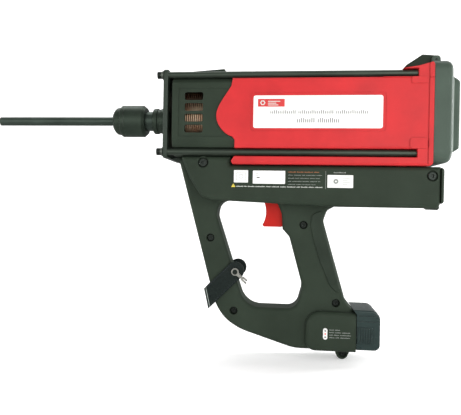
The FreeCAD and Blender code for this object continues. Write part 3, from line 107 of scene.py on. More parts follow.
class Graph:
    """A material's node tree, built with short calls."""

    def __init__(self, name):
        self.material = bpy.data.materials.new(name)
        self.material.use_nodes = True
        self.tree = self.material.node_tree
        self.tree.nodes.clear()
        self.out = self.node("ShaderNodeOutputMaterial")
        self.shader = self.node("ShaderNodeBsdfPrincipled")
        self.link(self.shader.outputs["BSDF"], self.out.inputs["Surface"])
        self.place = self.node("ShaderNodeTexCoord").outputs["Object"]

    def node(self, kind, **settings):
        made = self.tree.nodes.new(kind)
        for key, value in settings.items():
            setattr(made, key, value)
        return made

    def link(self, source, target):
        self.tree.links.new(source, target)

    def put(self, socket, value):
        """Link a socket, or set a constant."""
        if isinstance(value, bpy.types.NodeSocket):
            self.link(value, socket)
        else:
            socket.default_value = value

    def set(self, name, value):
        self.put(self.shader.inputs[name], value)

    def stretched(self, scale):
        """Object coordinates scaled by (x, y, z)."""
        mapping = self.node("ShaderNodeMapping")
        self.link(self.place, mapping.inputs["Vector"])
        mapping.inputs["Scale"].default_value = scale
        return mapping.outputs["Vector"]

    def noise(self, scale, detail=3.0, rough=0.5, place=None):
        """Cloudy pattern; scale is in features per metre."""
        made = self.node("ShaderNodeTexNoise")
        self.link(place or self.place, made.inputs["Vector"])
        made.inputs["Scale"].default_value = scale
        made.inputs["Detail"].default_value = detail
        made.inputs["Roughness"].default_value = rough
        return made.outputs["Fac"]

    def cells(self, scale):
        """Distance from the middle of small cells, scale of them per metre."""
        made = self.node("ShaderNodeTexVoronoi")
        self.link(self.place, made.inputs["Vector"])
        made.inputs["Scale"].default_value = scale
        return made.outputs["Distance"]

    def ramp(self, value, low=NOISE_LOW, high=NOISE_HIGH, to_low=0.0, to_high=1.0):
        """Stretch the range low...high to to_low...to_high, and hold its ends."""
        made = self.node("ShaderNodeMapRange")
        self.link(value, made.inputs["Value"])
        made.inputs["From Min"].default_value = low
        made.inputs["From Max"].default_value = high
        made.inputs["To Min"].default_value = to_low
        made.inputs["To Max"].default_value = to_high
        return made.outputs["Result"]

    def math(self, operation, first, second=0.0):
        made = self.node("ShaderNodeMath", operation=operation)
        self.put(made.inputs[0], first)
        self.put(made.inputs[1], second)
        return made.outputs[0]

    def colour_mix(self, factor, first, second):
        made = self.node("ShaderNodeMixRGB")
        self.put(made.inputs["Fac"], factor)
        self.put(made.inputs["Color1"], first)
        self.put(made.inputs["Color2"], second)
        return made.outputs["Color"]

    def two_tone(self, pattern, colour, dark, pale):
        """The colour, between a dark and a pale share of itself as the pattern goes."""
        return self.colour_mix(self.ramp(pattern), rgba(colour, dark), rgba(colour, pale))

    def rounded_normal(self, radius):
        bevel = self.node("ShaderNodeBevel", samples=BEVEL_SAMPLES)
        bevel.inputs["Radius"].default_value = radius
        return bevel.outputs["Normal"]

    def edges(self, radius):
        """1 on the sharp edges of the piece, 0 on its faces."""
        geometry = self.node("ShaderNodeNewGeometry")
        dot = self.node("ShaderNodeVectorMath", operation="DOT_PRODUCT")
        self.link(self.rounded_normal(radius), dot.inputs[0])
        self.link(geometry.outputs["True Normal"], dot.inputs[1])
        bent = self.math("SUBTRACT", 1.0, dot.outputs["Value"])
        return self.ramp(bent, EDGE_STARTS, EDGE_FULL)

    def bump(self, heights, radius):
        """Stack of (height, strength, distance) bumps over rounded edges."""
        normal = self.rounded_normal(radius)
        for height, strength, distance in heights:
            made = self.node("ShaderNodeBump")
            made.inputs["Strength"].default_value = strength
            made.inputs["Distance"].default_value = distance
            self.link(height, made.inputs["Height"])
            self.link(normal, made.inputs["Normal"])
            normal = made.outputs["Normal"]
        self.link(normal, self.shader.inputs["Normal"])


def rgba(colour, factor=1.0):
    """Opaque colour, scaled by a factor."""
    return (colour[0] * factor, colour[1] * factor, colour[2] * factor, 1.0)


# ---------------------------------------------------------------- materials
# Noise and cell scales are in features per metre; a bump is (pattern, strength, height in metres).
# Paler colour of rubbed edges and scratches; on the edges it is also a painted highlight.
WORN_AND_HIGHLIGHT_PLASTIC = (0.085, 0.105, 0.088)
BRIGHT_STEEL = (0.42, 0.42, 0.40)
# How far the edges of steel turn bright: partly wear, partly a painted highlight.
STEEL_EDGE_WEAR_AND_HIGHLIGHT = 0.5


def moulded_plastic(name, colour, rough, grain=0.5, worn_and_highlight=WORN_AND_HIGHLIGHT_PLASTIC, edge_wear_and_highlight=0.35, shine=0.3):
    """Moulded plastic: soft mottling, spark-eroded grain, paler edges (wear and painted highlight), a few
    fine scratches.
    """
    g = Graph(name)
    mottling = g.noise(22.0, detail=4.0, rough=0.55)
    base = g.two_tone(mottling, colour, 0.88, 1.14)
    smudges = g.ramp(g.noise(9.0, detail=5.0, rough=0.6), 0.48, 0.75)
    scratches = g.noise(70.0, detail=2.0, rough=0.4, place=g.stretched((1.0, 1.0, 14.0)))
    faint_scratches = g.math("MULTIPLY", g.ramp(scratches, 0.70, 0.76), 0.25)
    # Paler edges: partly rubbed wear, partly a painted highlight along the edges.
    rubbed_edge_and_highlight = g.math("MULTIPLY", g.edges(0.7 * MM), g.ramp(g.noise(160.0), 0.35, 0.65))
    wear_and_highlight = g.math("MULTIPLY", g.math("MAXIMUM", rubbed_edge_and_highlight, faint_scratches), edge_wear_and_highlight)
    g.set("Base Color", g.colour_mix(wear_and_highlight, base, rgba(worn_and_highlight)))
    roughness = g.ramp(mottling, 0.25, 0.75, rough - 0.05, rough + 0.06)
    g.set("Roughness", g.math("SUBTRACT", roughness, g.math("MULTIPLY", smudges, 0.10)))
    g.set("Specular IOR Level", shine)
    fine = g.noise(1500.0, detail=2.0, rough=0.6)
    pits = g.cells(900.0)
    waves = g.noise(60.0)
    g.bump([(fine, 0.35 * grain, 0.12 * MM), (pits, 0.25 * grain, 0.10 * MM), (waves, 0.06, 0.5 * MM)],
           0.45 * MM)
    return g.material


def steel(name, colour, rough, metallic, streaks, tint=None):
    """Machined or plated metal with streaks (features per metre in X, Y, Z), stains and bright edges
    (wear and painted highlight).
    """
    g = Graph(name)
    streak = g.noise(1.0, rough=0.6, place=g.stretched(streaks))
    blotch = g.noise(30.0, detail=4.0, rough=0.6)
    base = g.two_tone(blotch, colour, 0.85, 1.15)
    if tint:
        stain = g.ramp(g.noise(45.0, detail=5.0, rough=0.65), 0.42, 0.68)
        base = g.colour_mix(stain, base, rgba(tint))
    # Bright edges: partly rubbed wear, partly a painted highlight on edges such as the screw heads'.
    rubbed_edge_and_highlight = g.math("MULTIPLY", g.edges(0.35 * MM), g.ramp(g.noise(300.0), 0.35, 0.6))
    base = g.colour_mix(g.math("MULTIPLY", rubbed_edge_and_highlight, STEEL_EDGE_WEAR_AND_HIGHLIGHT), base, rgba(BRIGHT_STEEL))
    g.set("Base Color", base)
    g.set("Metallic", metallic)
    from_streaks = g.ramp(streak, to_low=-0.06, to_high=0.06)
    from_stains = g.ramp(blotch, to_low=rough - 0.05, to_high=rough + 0.08)
    g.set("Roughness", g.math("ADD", from_streaks, from_stains))
    g.bump([(streak, 0.25, 0.06 * MM), (g.noise(700.0, detail=2.0), 0.12, 0.05 * MM)], 0.3 * MM)
    return g.material


def cast_metal(name, colour, rough):
    """Sand-textured casting."""
    g = Graph(name)
    blotch = g.noise(40.0, detail=5.0, rough=0.6)
    g.set("Base Color", g.two_tone(blotch, colour, 0.78, 1.1))
    g.set("Metallic", 0.9)
    g.set("Roughness", g.ramp(blotch, to_low=rough - 0.06, to_high=rough + 0.1))
    g.bump([(g.cells(500.0), 0.35, 0.15 * MM), (g.noise(900.0), 0.3, 0.08 * MM)], 0.4 * MM)
    return g.material


def rubber(name, colour, rough=0.75, dimples=700.0):
    """Dull rubber with a pale haze and small dimples."""
    g = Graph(name)
    haze = g.noise(35.0, detail=4.0, rough=0.6)
    g.set("Base Color", g.colour_mix(g.ramp(haze, 0.3, 0.72), rgba(colour), rgba(colour, 1.5)))
    g.set("Roughness", g.ramp(haze, to_low=rough - 0.08, to_high=rough + 0.08))
    g.set("Specular IOR Level", 0.15)
    g.bump([(g.cells(dimples), 0.5, 0.15 * MM), (g.noise(1400.0), 0.3, 0.06 * MM)], 0.4 * MM)
    return g.material


def printed_film(name, colour):
    """Laminated sticker or ink: almost flat, with dust specks and a faint ripple."""
    g = Graph(name)
    dust = g.ramp(g.noise(420.0, detail=4.0, rough=0.7), 0.62, 0.78)
    base = g.two_tone(g.noise(18.0), colour, 0.95, 1.02)
    g.set("Base Color", g.colour_mix(g.math("MULTIPLY", dust, 0.12), base, rgba(colour, 0.55)))
    g.set("Roughness", g.ramp(g.noise(55.0), to_low=0.26, to_high=0.42))
    g.bump([(g.noise(45.0, detail=2.0), 0.10, 0.2 * MM), (g.noise(900.0), 0.06, 0.03 * MM)], 0.12 * MM)
    return g.material


def filter_paper(name, colour):
    """Fibrous paper with soot on it."""
    g = Graph(name)
    fibres = g.noise(1.0, detail=5.0, rough=0.7, place=g.stretched((300.0, 900.0, 900.0)))
    soot = g.ramp(g.noise(30.0, detail=4.0), 0.45, 0.75)
    base = g.two_tone(fibres, colour, 0.8, 1.1)
    g.set("Base Color", g.colour_mix(g.math("MULTIPLY", soot, 0.35), base, rgba(colour, 0.35)))
    g.set("Roughness", g.ramp(fibres, 0.2, 0.8, 0.82, 0.95))
    g.bump([(fibres, 0.5, 0.2 * MM)], 0.2 * MM)
    return g.material


def glazed(name, colour, rough=0.18):
    """Smooth glaze or clear lacquer over an even colour."""
    g = Graph(name)
    tone = g.noise(80.0)
    g.set("Base Color", g.two_tone(tone, colour, 0.93, 1.03))
    g.set("Roughness", g.ramp(tone, to_low=rough - 0.04, to_high=rough + 0.08))
    g.set("Coat Weight", 0.3)
    g.bump([(g.noise(200.0), 0.08, 0.1 * MM)], 0.3 * MM)
    return g.material


def circuit_board(name, colour):
    """Solder mask over copper tracks."""
    g = Graph(name)
    track = g.node("ShaderNodeTexBrick")
    g.link(g.place, track.inputs["Vector"])
    track.inputs["Scale"].default_value = 160.0
    track.inputs["Color1"].default_value = rgba(colour, 1.5)
    track.inputs["Color2"].default_value = rgba(colour, 0.8)
    track.inputs["Mortar"].default_value = rgba(colour, 0.5)
    g.set("Base Color", track.outputs["Color"])
    g.set("Roughness", g.ramp(g.noise(120.0), to_low=0.28, to_high=0.42))
    g.bump([(track.outputs["Fac"], 0.2, 0.05 * MM)], 0.2 * MM)
    return g.material


# Painted highlights along the strap's fold, as pale lines: distance past the start of the fold, and half
# width.
FOLD_HIGHLIGHTS = ((1.2 * MM, 0.42 * MM), (6.3 * MM, 0.60 * MM))
FOLD_HIGHLIGHT_COLOUR = (0.36, 0.40, 0.38)
WEAVE_ALONG, WEAVE_ACROSS = 190.0, 240.0        # scales of the two wave textures


def webbing(name, colour):
    """Woven strap with pale lines painted along the fold as highlights: UV runs in metres along and
    across the band.
    """
    g = Graph(name)
    uv = g.node("ShaderNodeUVMap").outputs["UV"]
    along = g.node("ShaderNodeTexWave", bands_direction="X")
    across = g.node("ShaderNodeTexWave", bands_direction="Y")
    for wave, scale in ((along, WEAVE_ALONG), (across, WEAVE_ACROSS)):
        g.link(uv, wave.inputs["Vector"])
        wave.inputs["Scale"].default_value = scale
        wave.inputs["Distortion"].default_value = 0.6
        wave.inputs["Detail"].default_value = 1.0
    weave = g.math("MULTIPLY", along.outputs["Fac"], across.outputs["Fac"])
    fuzz = g.noise(700.0, detail=4.0, rough=0.7)
    base = g.colour_mix(g.ramp(weave, 0.1, 0.9), rgba(colour, 0.55), rgba(colour, 1.35))
    base = g.colour_mix(g.ramp(fuzz, 0.55, 0.8), base, rgba(colour, 2.2))
    run = g.node("ShaderNodeSeparateXYZ")
    g.link(uv, run.inputs["Vector"])
    # Painted highlights: pale lines along the fold, where its curve catches the light.
    for place, half_width in FOLD_HIGHLIGHTS:
        off = g.math("ABSOLUTE", g.math("SUBTRACT", run.outputs["X"], place))
        base = g.colour_mix(g.math("LESS_THAN", off, half_width), base, rgba(FOLD_HIGHLIGHT_COLOUR))
    g.set("Base Color", base)
    g.set("Roughness", g.ramp(fuzz, to_low=0.24, to_high=0.36))
    g.set("Specular IOR Level", 0.14)
    g.set("Sheen Weight", 0.03)
    g.set("Sheen Roughness", 0.4)
    g.bump([(weave, 0.45, 0.2 * MM), (fuzz, 0.2, 0.08 * MM)], 0.2 * MM)
    return g.material


def glowing(name, colour, strength):
    """Lens of a light that is on."""
    g = Graph(name)
    tone = g.noise(600.0, detail=2.0)
    g.set("Base Color", g.two_tone(tone, colour, 0.85, 1.0))
    g.set("Roughness", g.ramp(tone, to_low=0.15, to_high=0.25))
    g.set("Emission Color", rgba(colour))
    g.set("Emission Strength", strength)
    g.bump([(tone, 0.1, 0.05 * MM)], 0.2 * MM)
    return g.material


DARK_GREEN = (0.0275, 0.0385, 0.0270)
RED = (0.52, 0.021, 0.024)
BLACK_OXIDE = (0.040, 0.057, 0.042)
TURNED = (1500.0, 40.0, 40.0)       # streaks round X, as a lathe leaves them
TURNED_WIDE = (500.0, 60.0, 60.0)   # wider ones
BRUSHED = (60.0, 500.0, 500.0)      # streaks along X
DRAWN = (25.0, 700.0, 700.0)        # long streaks along X, as on drawn rod
SPECKLED = (300.0, 300.0, 300.0)    # the same in every direction
SPECKLED_FINE = (400.0, 400.0, 400.0)
SPECKLED_FINEST = (500.0, 500.0, 500.0)


def make_metals():
    """Metals by material slot."""
    return {
        "blued_steel": steel("blued_steel", (0.058, 0.080, 0.065), 0.38, 0.8, BRUSHED),
        "nose_paint": steel("nose_black_oxide", BLACK_OXIDE, 0.44, 0.75, TURNED),
        "rod_steel": steel("rod_black_oxide", (0.052, 0.068, 0.052), 0.38, 0.7, DRAWN),
        "black_screws": steel("screw_black_oxide", (0.020, 0.026, 0.022), 0.30, 0.75, SPECKLED_FINE),
        "zinc_steel": steel("zinc_plate", (0.16, 0.18, 0.155), 0.42, 1.0, SPECKLED),
        "spring_steel": steel("spring_steel", (0.40, 0.40, 0.41), 0.28, 1.0, SPECKLED_FINEST),
        "nickel": steel("nickel_plate", (0.46, 0.46, 0.42), 0.30, 1.0, SPECKLED),
        "bronze_alloy": steel("bronze_alloy", (0.42, 0.20, 0.11), 0.40, 0.9, TURNED_WIDE,
                              tint=(0.62, 0.50, 0.34)),
        "brass_fitting": steel("brass_fitting", (0.72, 0.50, 0.20), 0.30, 1.0, TURNED_WIDE),
        "cast_alloy": cast_metal("cast_alloy", (0.58, 0.58, 0.56), 0.45),
    }


def make_plastics():
    """Moulded and powder-coated surfaces by material slot, and the cap's paler mix as painted light."""
    return {
        "frame_paint": moulded_plastic("frame_powder_coat", (0.024, 0.036, 0.026), 0.42, grain=0.7,
                                       worn_and_highlight=(0.14, 0.15, 0.13), edge_wear_and_highlight=0.5),
        "dark_shell": moulded_plastic("dark_shell", DARK_GREEN, 0.48, grain=0.8, shine=0.07),
        # Paler copy of the dark shell: painted light, for the light that falls on the tool's rear end.
        "cap_painted_light": moulded_plastic("cap_painted_light", (0.060, 0.084, 0.066), 0.46, grain=0.8, shine=0.14),
        "red_shell": moulded_plastic("red_shell", RED, 0.44, grain=0.25, worn_and_highlight=(0.70, 0.16, 0.14),
                                     edge_wear_and_highlight=0.20, shine=0.25),
        "red_trigger": moulded_plastic("red_trigger", (0.46, 0.013, 0.008), 0.42, grain=0.35,
                                       worn_and_highlight=(0.66, 0.12, 0.10), edge_wear_and_highlight=0.3, shine=0.15),
        "black_plastic": moulded_plastic("black_plastic", (0.016, 0.017, 0.017), 0.45, grain=0.6),
        "battery_shell": moulded_plastic("battery_shell", (0.015, 0.030, 0.028), 0.26, grain=0.6,
                                         worn_and_highlight=(0.10, 0.14, 0.13), edge_wear_and_highlight=0.6, shine=0.35),
    }


def make_other_materials():
    """Rubber, paper, glaze, film, cloth and the circuit board by material slot."""
    return {
        "seal_rubber": rubber("seal_rubber", (0.30, 0.34, 0.31), 0.55),
        "black_rubber": rubber("black_rubber", (0.018, 0.018, 0.018)),
        "grip_rubber": rubber("grip_rubber", (0.019, 0.028, 0.019), 0.55, 1100.0),
        "filter_paper": filter_paper("filter_paper", (0.62, 0.52, 0.33)),
        "label_film": printed_film("label_film", (0.86, 0.86, 0.84)),
        "ceramic": glazed("plug_ceramic", (0.84, 0.82, 0.76)),
        "cell_paint": glazed("fuel_cell_can", (0.66, 0.69, 0.72), 0.26),
        "window_white": glazed("charge_window", (0.82, 0.82, 0.80), 0.25),
        "circuit_board": circuit_board("circuit_board", (0.02, 0.14, 0.06)),
        "strap_webbing": webbing("strap_webbing", (0.012, 0.019, 0.017)),
    }


# Nodes of the dark shell's slot that look paler: they get a paler copy of it, painted light for the light
# that falls on the rear end.
PAINTED_LIGHT_NODES = {"rear_cap": "cap_painted_light", "filter_cover": "cap_painted_light"}


def dress_frame(materials):
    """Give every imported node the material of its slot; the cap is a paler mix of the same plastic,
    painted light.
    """
    for entry in frame["record"]["subparts"]:
        node = frame["nodes"][entry["node"]]
        paint = PAINTED_LIGHT_NODES.get(entry["node"], entry["material_slot"])
        for index in range(len(node.material_slots)):
            node.material_slots[index].material = materials[paint]


# ---------------------------------------------------------------- mesh tools
def new_piece(name, mesh_builder, materials, body=ROOT):
    """Make a mesh object from a bmesh and ride it on its body."""
    mesh = bpy.data.meshes.new(name)
    mesh_builder.to_mesh(mesh)
    mesh_builder.free()
    piece = bpy.data.objects.new(name, mesh)
    for material in materials:
        mesh.materials.append(material)
    bpy.context.scene.collection.objects.link(piece)
    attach(piece, body)
    return piece


SAME_PLACE_DIGITS = 6       # vertices that agree to this many decimals of a metre are one


def islands(node):
    """Boxes (low corner, high corner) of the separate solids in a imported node, from the muzzle back."""
    mesh = frame["nodes"][node].data
    key_of = {}
    parent = {}

    def find(key):
        while parent[key] != key:
            key = parent[key]
        return key

    for vertex in mesh.vertices:
        key = tuple(round(value, SAME_PLACE_DIGITS) for value in vertex.co)
        key_of[vertex.index] = key
        parent.setdefault(key, key)
    for polygon in mesh.polygons:
        keys = [find(key_of[index]) for index in polygon.vertices]
        for key in keys[1:]:
            parent[key] = keys[0]
    groups = {}
    for key in parent:
        groups.setdefault(find(key), []).append(key)
    boxes = []
    for points in groups.values():
        low = Vector(tuple(min(p[i] for p in points) for i in range(3)))
        high = Vector(tuple(max(p[i] for p in points) for i in range(3)))
        boxes.append((low, high))
    return sorted(boxes, key=lambda corners: (corners[0].x, corners[0].z))


# ---------------------------------------------------------------- printing
INK_DEPTH = 0.05 * MM
INK_DARK, INK_RED, INK_WHITE, INK_ORANGE, INK_YELLOW, INK_GREY = range(6)
INK_COLOURS = (("ink_dark", (0.10, 0.10, 0.10)), ("ink_red", (0.58, 0.03, 0.03)),
               ("ink_white", (0.62, 0.64, 0.60)), ("ink_orange", (0.30, 0.10, 0.03)),
               ("ink_yellow", (0.75, 0.60, 0.05)), ("ink_grey", (0.25, 0.27, 0.25)))
CORNER_STEPS = 4
SQUARE_BELOW = 0.05 * MM        # corners smaller than this are left square
RING_SIDES = 28
TICK_WIDTH = 0.72               # share of the pitch
SHORT_TICK = 0.74               # share of the row's height
TICK_CORNER = 0.12              # share of the pitch
WORD_GAP = 1.1                  # in pitches


def ink_materials():
    """One printed film for each ink, in the order of the ink numbers."""
    return [printed_film(name, colour) for name, colour in INK_COLOURS]


def add_prism(builder, outline, face, slot, layer=0):
    """Ink with the outline's shape on the surface at y = face; layer counts the inks under it."""
    back = [builder.verts.new((x, face - layer * INK_DEPTH, z)) for x, z in outline]
    front = [builder.verts.new((x, face - (layer + 1) * INK_DEPTH, z)) for x, z in outline]
    count = len(outline)
    sides = [builder.faces.new(front)]
    for i in range(count):
        following = (i + 1) % count
        sides.append(builder.faces.new((back[i], back[following], front[following], front[i])))
    for side in sides:
        side.material_index = slot


def add_slab(builder, x0, x1, z0, z1, face, slot, corner=0.0, layer=0):
    """Rounded rectangle of ink."""
    corner = min(corner, (x1 - x0) * 0.49, (z1 - z0) * 0.49)
    steps = CORNER_STEPS if corner > SQUARE_BELOW else 0
    outline = []
    for centre_x, centre_z, start in ((x1 - corner, z1 - corner, 0), (x0 + corner, z1 - corner, 90),
                                      (x0 + corner, z0 + corner, 180), (x1 - corner, z0 + corner, 270)):
        for step in range(steps + 1):
            angle = math.radians(start + 90 * step / max(steps, 1))
            outline.append((centre_x + corner * math.cos(angle), centre_z + corner * math.sin(angle)))
    add_prism(builder, outline, face, slot, layer)


def add_ring(builder, x, z, outer, inner, face, slot, sides=RING_SIDES, layer=0):
    """Flat ring of ink."""
    y_back, y_front = face - layer * INK_DEPTH, face - (layer + 1) * INK_DEPTH

    def circle(radius, y):
        return [builder.verts.new((x + radius * math.cos(math.tau * i / sides), y,
                                   z + radius * math.sin(math.tau * i / sides))) for i in range(sides)]

    outer_back, outer_front = circle(outer, y_back), circle(outer, y_front)
    inner_back, inner_front = circle(inner, y_back), circle(inner, y_front)
    for i in range(sides):
        j = (i + 1) % sides
        quads = ((outer_front[i], outer_front[j], inner_front[j], inner_front[i]),
                 (outer_back[i], outer_back[j], outer_front[j], outer_front[i]),
                 (inner_front[i], inner_front[j], inner_back[j], inner_back[i]))
        for quad in quads:
            builder.faces.new(quad).material_index = slot


def add_border(builder, low, high, inset, line, face):
    """Hairline frame inside the edge of a sticker."""
    x0, x1 = low.x + inset, high.x - inset
    z0, z1 = low.z + inset, high.z - inset
    for sides in ((x0, x1, z0, z0 + line), (x0, x1, z1 - line, z1), (x0, x0 + line, z0, z1),
                  (x1 - line, x1, z0, z1)):
        add_slab(builder, *sides, face, INK_GREY)


def add_word_row(builder, x0, words, z, height, face, slot, pitch, width=TICK_WIDTH):
    """Row of plain ticks that stands in for words; words is a list of tick counts."""
    x = x0
    for count in words:
        for i in range(count):
            tall = height if (i * 7 + count) % 5 in (0, 3) else height * SHORT_TICK
            add_slab(builder, x, x + pitch * width, z, z + tall, face, slot, pitch * TICK_CORNER)
            x += pitch
        x += pitch * WORD_GAP


# Red panel of the rating label: shares of its width from the front and of its height from the top.
PANEL_FRONT, PANEL_REAR = 0.035, 0.245
PANEL_TOP, PANEL_BOTTOM = 0.105, 0.345
EMBLEM_INSET = 5.5 * MM
EMBLEM_OUTER, EMBLEM_INNER = 3.1 * MM, 1.7 * MM
EMBLEM_SIDES = 6
BAR_LENGTHS = (14.0, 9.5, 12.0)         # mm, from the top one down
BAR_INSET = 11.5
BAR_HEIGHT = 0.9 * MM
THIN_TICK = 0.40                        # share of the pitch


def print_rating_label(inks):
    """Red panel with a plain hexagon and bars, two rows of ticks and a hairline frame."""
    low, high = max(islands("labels"), key=lambda corners: corners[1].x - corners[0].x)
    width = high.x - low.x
    height = high.z - low.z
    face = low.y
    x0, x1 = low.x + PANEL_FRONT * width, low.x + PANEL_REAR * width
    z0, z1 = high.z - PANEL_BOTTOM * height, high.z - PANEL_TOP * height
    builder = bmesh.new()
    add_slab(builder, x0, x1, z0, z1, face, INK_RED, 0.3 * MM)
    add_ring(builder, x0 + EMBLEM_INSET, (z0 + z1) / 2, EMBLEM_OUTER, EMBLEM_INNER, face, INK_WHITE,
             EMBLEM_SIDES, layer=1)
    for i, length in enumerate(BAR_LENGTHS):
        z = z1 - (2.4 + 2.1 * i) * MM
        add_slab(builder, x0 + BAR_INSET * MM, x0 + (BAR_INSET + length) * MM, z - BAR_HEIGHT, z, face,
                 INK_WHITE, 0.2 * MM, layer=1)
    add_word_row(builder, low.x + 0.135 * width, (14, 19, 17), low.z + 0.44 * height, 3.9 * MM, face,
                 INK_DARK, 2.12 * MM, THIN_TICK)
    add_word_row(builder, low.x + 0.345 * width, (9, 11), low.z + 0.17 * height, 5.2 * MM, face,
                 INK_DARK, 2.30 * MM, THIN_TICK)
    add_border(builder, low, high, 1.3 * MM, 0.12 * MM, face)
    new_piece("rating_print", builder, inks)


def draw_pictograms(builder, square, wide, ident, face):
    """Plain strokes on the three small stickers."""
    low, high = square
    margin = Vector((1.4 * MM, 0, 1.2 * MM))
    add_border(builder, low + margin, high - margin, 1.6 * MM, 0.28 * MM, face)
    add_ring(builder, (low.x + high.x) / 2, (low.z + high.z) / 2, 2.6 * MM, 2.2 * MM, face, INK_GREY)
    low, high = wide
    add_ring(builder, low.x + 5 * MM, high.z - 4.6 * MM, 1.5 * MM, 1.2 * MM, face, INK_GREY)
    add_slab(builder, low.x + 4.5 * MM, low.x + 8.0 * MM, low.z + 6.4 * MM, low.z + 7.8 * MM, face,
             INK_DARK, 0.4 * MM)
    for i, length in enumerate((11.0, 16.0, 13.0)):
        z = high.z - (4.0 + 3.2 * i) * MM
        add_slab(builder, low.x + 13 * MM, low.x + (13 + length) * MM, z - 0.3 * MM, z, face, INK_GREY)
    add_ring(builder, high.x - 4.5 * MM, low.z + 5.0 * MM, 1.7 * MM, 1.4 * MM, face, INK_GREY)
    low, high = ident
    add_ring(builder, low.x + 9.6 * MM, (low.z + high.z) / 2, 2.9 * MM, 0.9 * MM, face, INK_GREY)
    for i in range(4):
        z = high.z - (3.4 + 2.4 * i) * MM
        end = low.x + (25.5 - (i % 2) * 2.5) * MM
        add_slab(builder, low.x + 17 * MM, end, z - 0.4 * MM, z, face, INK_GREY)


SAFETY_ROWS = ((6, 9, 4, 12, 7), (8, 5, 11, 6, 5), (4, 12, 8, 9, 3), (9, 7, 10, 5))
CAUTION_ROW = (9, 3, 8, 12, 5, 9, 7, 10, 4, 8, 6, 9)


def draw_beam_text(builder, square, wide, ident, face):
    """Caution text, divider and warning triangle on the beam itself, between the stickers."""
    text_x = wide[1].x + 3.4 * MM
    top_z = wide[1].z - 0.6 * MM
    add_word_row(builder, text_x, (9, 8, 10, 6), top_z - 1.2 * MM, 1.2 * MM, face, INK_ORANGE, 0.98 * MM)
    for i, words in enumerate(SAFETY_ROWS):
        z = top_z - (4.6 + 3.6 * i) * MM
        add_word_row(builder, text_x, words, z, 0.75 * MM, face, INK_GREY, 0.92 * MM)
    divider_x = ident[0].x - 2.2 * MM
    add_slab(builder, divider_x, divider_x + 0.35 * MM, ident[0].z - 1.5 * MM, ident[1].z + 4.5 * MM,
             face, INK_GREY)
    add_word_row(builder, ident[0].x + 7.0 * MM, (10,), ident[1].z + 2.2 * MM, 1.3 * MM, face, INK_GREY,
                 1.4 * MM)
    caution_z = square[0].z - 5.4 * MM
    triangle_x = square[0].x - 0.6 * MM
    triangle = [(triangle_x, caution_z + 4.2 * MM), (triangle_x + 2.4 * MM, caution_z),
                (triangle_x - 2.4 * MM, caution_z)]
    add_prism(builder, triangle, face, INK_YELLOW)
    add_slab(builder, triangle_x - 0.25 * MM, triangle_x + 0.25 * MM, caution_z + 1.2 * MM,
             caution_z + 2.9 * MM, face, INK_DARK, layer=1)
    add_word_row(builder, square[0].x + 2.6 * MM, CAUTION_ROW, caution_z + 0.4 * MM, 1.1 * MM, face,
                 INK_WHITE, 0.98 * MM)


def print_instructions(inks):
    """Pictogram strokes on the small stickers, and the text printed on the beam between them."""
    below_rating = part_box("labels")[1].z - 30 * MM
    square, wide, ident = [corners for corners in islands("labels") if corners[1].z < below_rating]
    sticker_face = square[0].y
    beam_face = square[1].y
    builder = bmesh.new()
    draw_pictograms(builder, square, wide, ident, sticker_face)
    draw_beam_text(builder, square, wide, ident, beam_face)
    new_piece("instruction_print", builder, inks)


LEGEND_ROWS = ((5, 6), (5, 7, 9), (4, 6, 12), (6, 4, 11))
LIGHT_COUNT = 3
LIT = 1                         # the middle one
LIGHT_RADIUS = 0.95 * MM
LIGHT_FLATNESS = 0.45


def print_charge_legend(inks):
    """Short lines beside the charge window."""
    low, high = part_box("led_window")
    face = low.y + 0.5 * MM
    builder = bmesh.new()
    for i, words in enumerate(LEGEND_ROWS):
        z = high.z - (2.4 + 3.0 * i) * MM
        add_word_row(builder, high.x + 2.2 * MM, words, z, 1.0 * MM, face, INK_GREY, 1.05 * MM)
    new_piece("charge_legend", builder, inks)


def make_charge_lights():
    """Three domed lights in the charge window; the middle one glows red."""
    low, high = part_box("led_window")
    x = (low.x + high.x) / 2
    builder = bmesh.new()
    for i in range(LIGHT_COUNT):
        z = high.z - (3.1 + 3.7 * i) * MM
        place = Matrix.Translation((x, low.y, z)) @ Matrix.Diagonal((1.0, LIGHT_FLATNESS, 1.0, 1.0))
        dome = bmesh.ops.create_uvsphere(builder, u_segments=20, v_segments=12, radius=LIGHT_RADIUS,
                                         matrix=place)
        for vertex in dome["verts"]:
            for face in vertex.link_faces:
                face.material_index = int(i == LIT)
                face.smooth = True
    dark_lens = glazed("light_lens_dark", (0.05, 0.05, 0.05))
    red_lens = glowing("light_lens_red", (0.75, 0.04, 0.03), 0.6)
    new_piece("charge_lights", builder, [dark_lens, red_lens])


# ---------------------------------------------------------------- strap
STRAP_HALF_WIDTH = 10.8 * MM
STRAP_THICKNESS = 1.6 * MM
STRAP_TURN = 5.0 * MM               # radius of the fold, on the band's outer face
STRAP_BOW = 0.5 * MM                # how far the straight stretches bow out
STRAP_EDGE = 0.45 * MM              # rounding of the band's edges
STRAP_MARGIN = 0.02 * MM            # keeps the band's edges inside its packed box
STRAP_ROWS = 96
STITCH_PITCHES = 46                 # in the band's length
STITCHES_LEFT_OUT = 2               # at either end
STITCH_INSET = 1.7 * MM             # from the band's edge
STITCH_RADIUS = 0.30 * MM
STITCH_LIFT = 0.05 * MM             # above the band's face
STITCH_ENDS = (0.18, 0.82)          # shares of the pitch
DIAGONAL = math.sqrt(0.5)


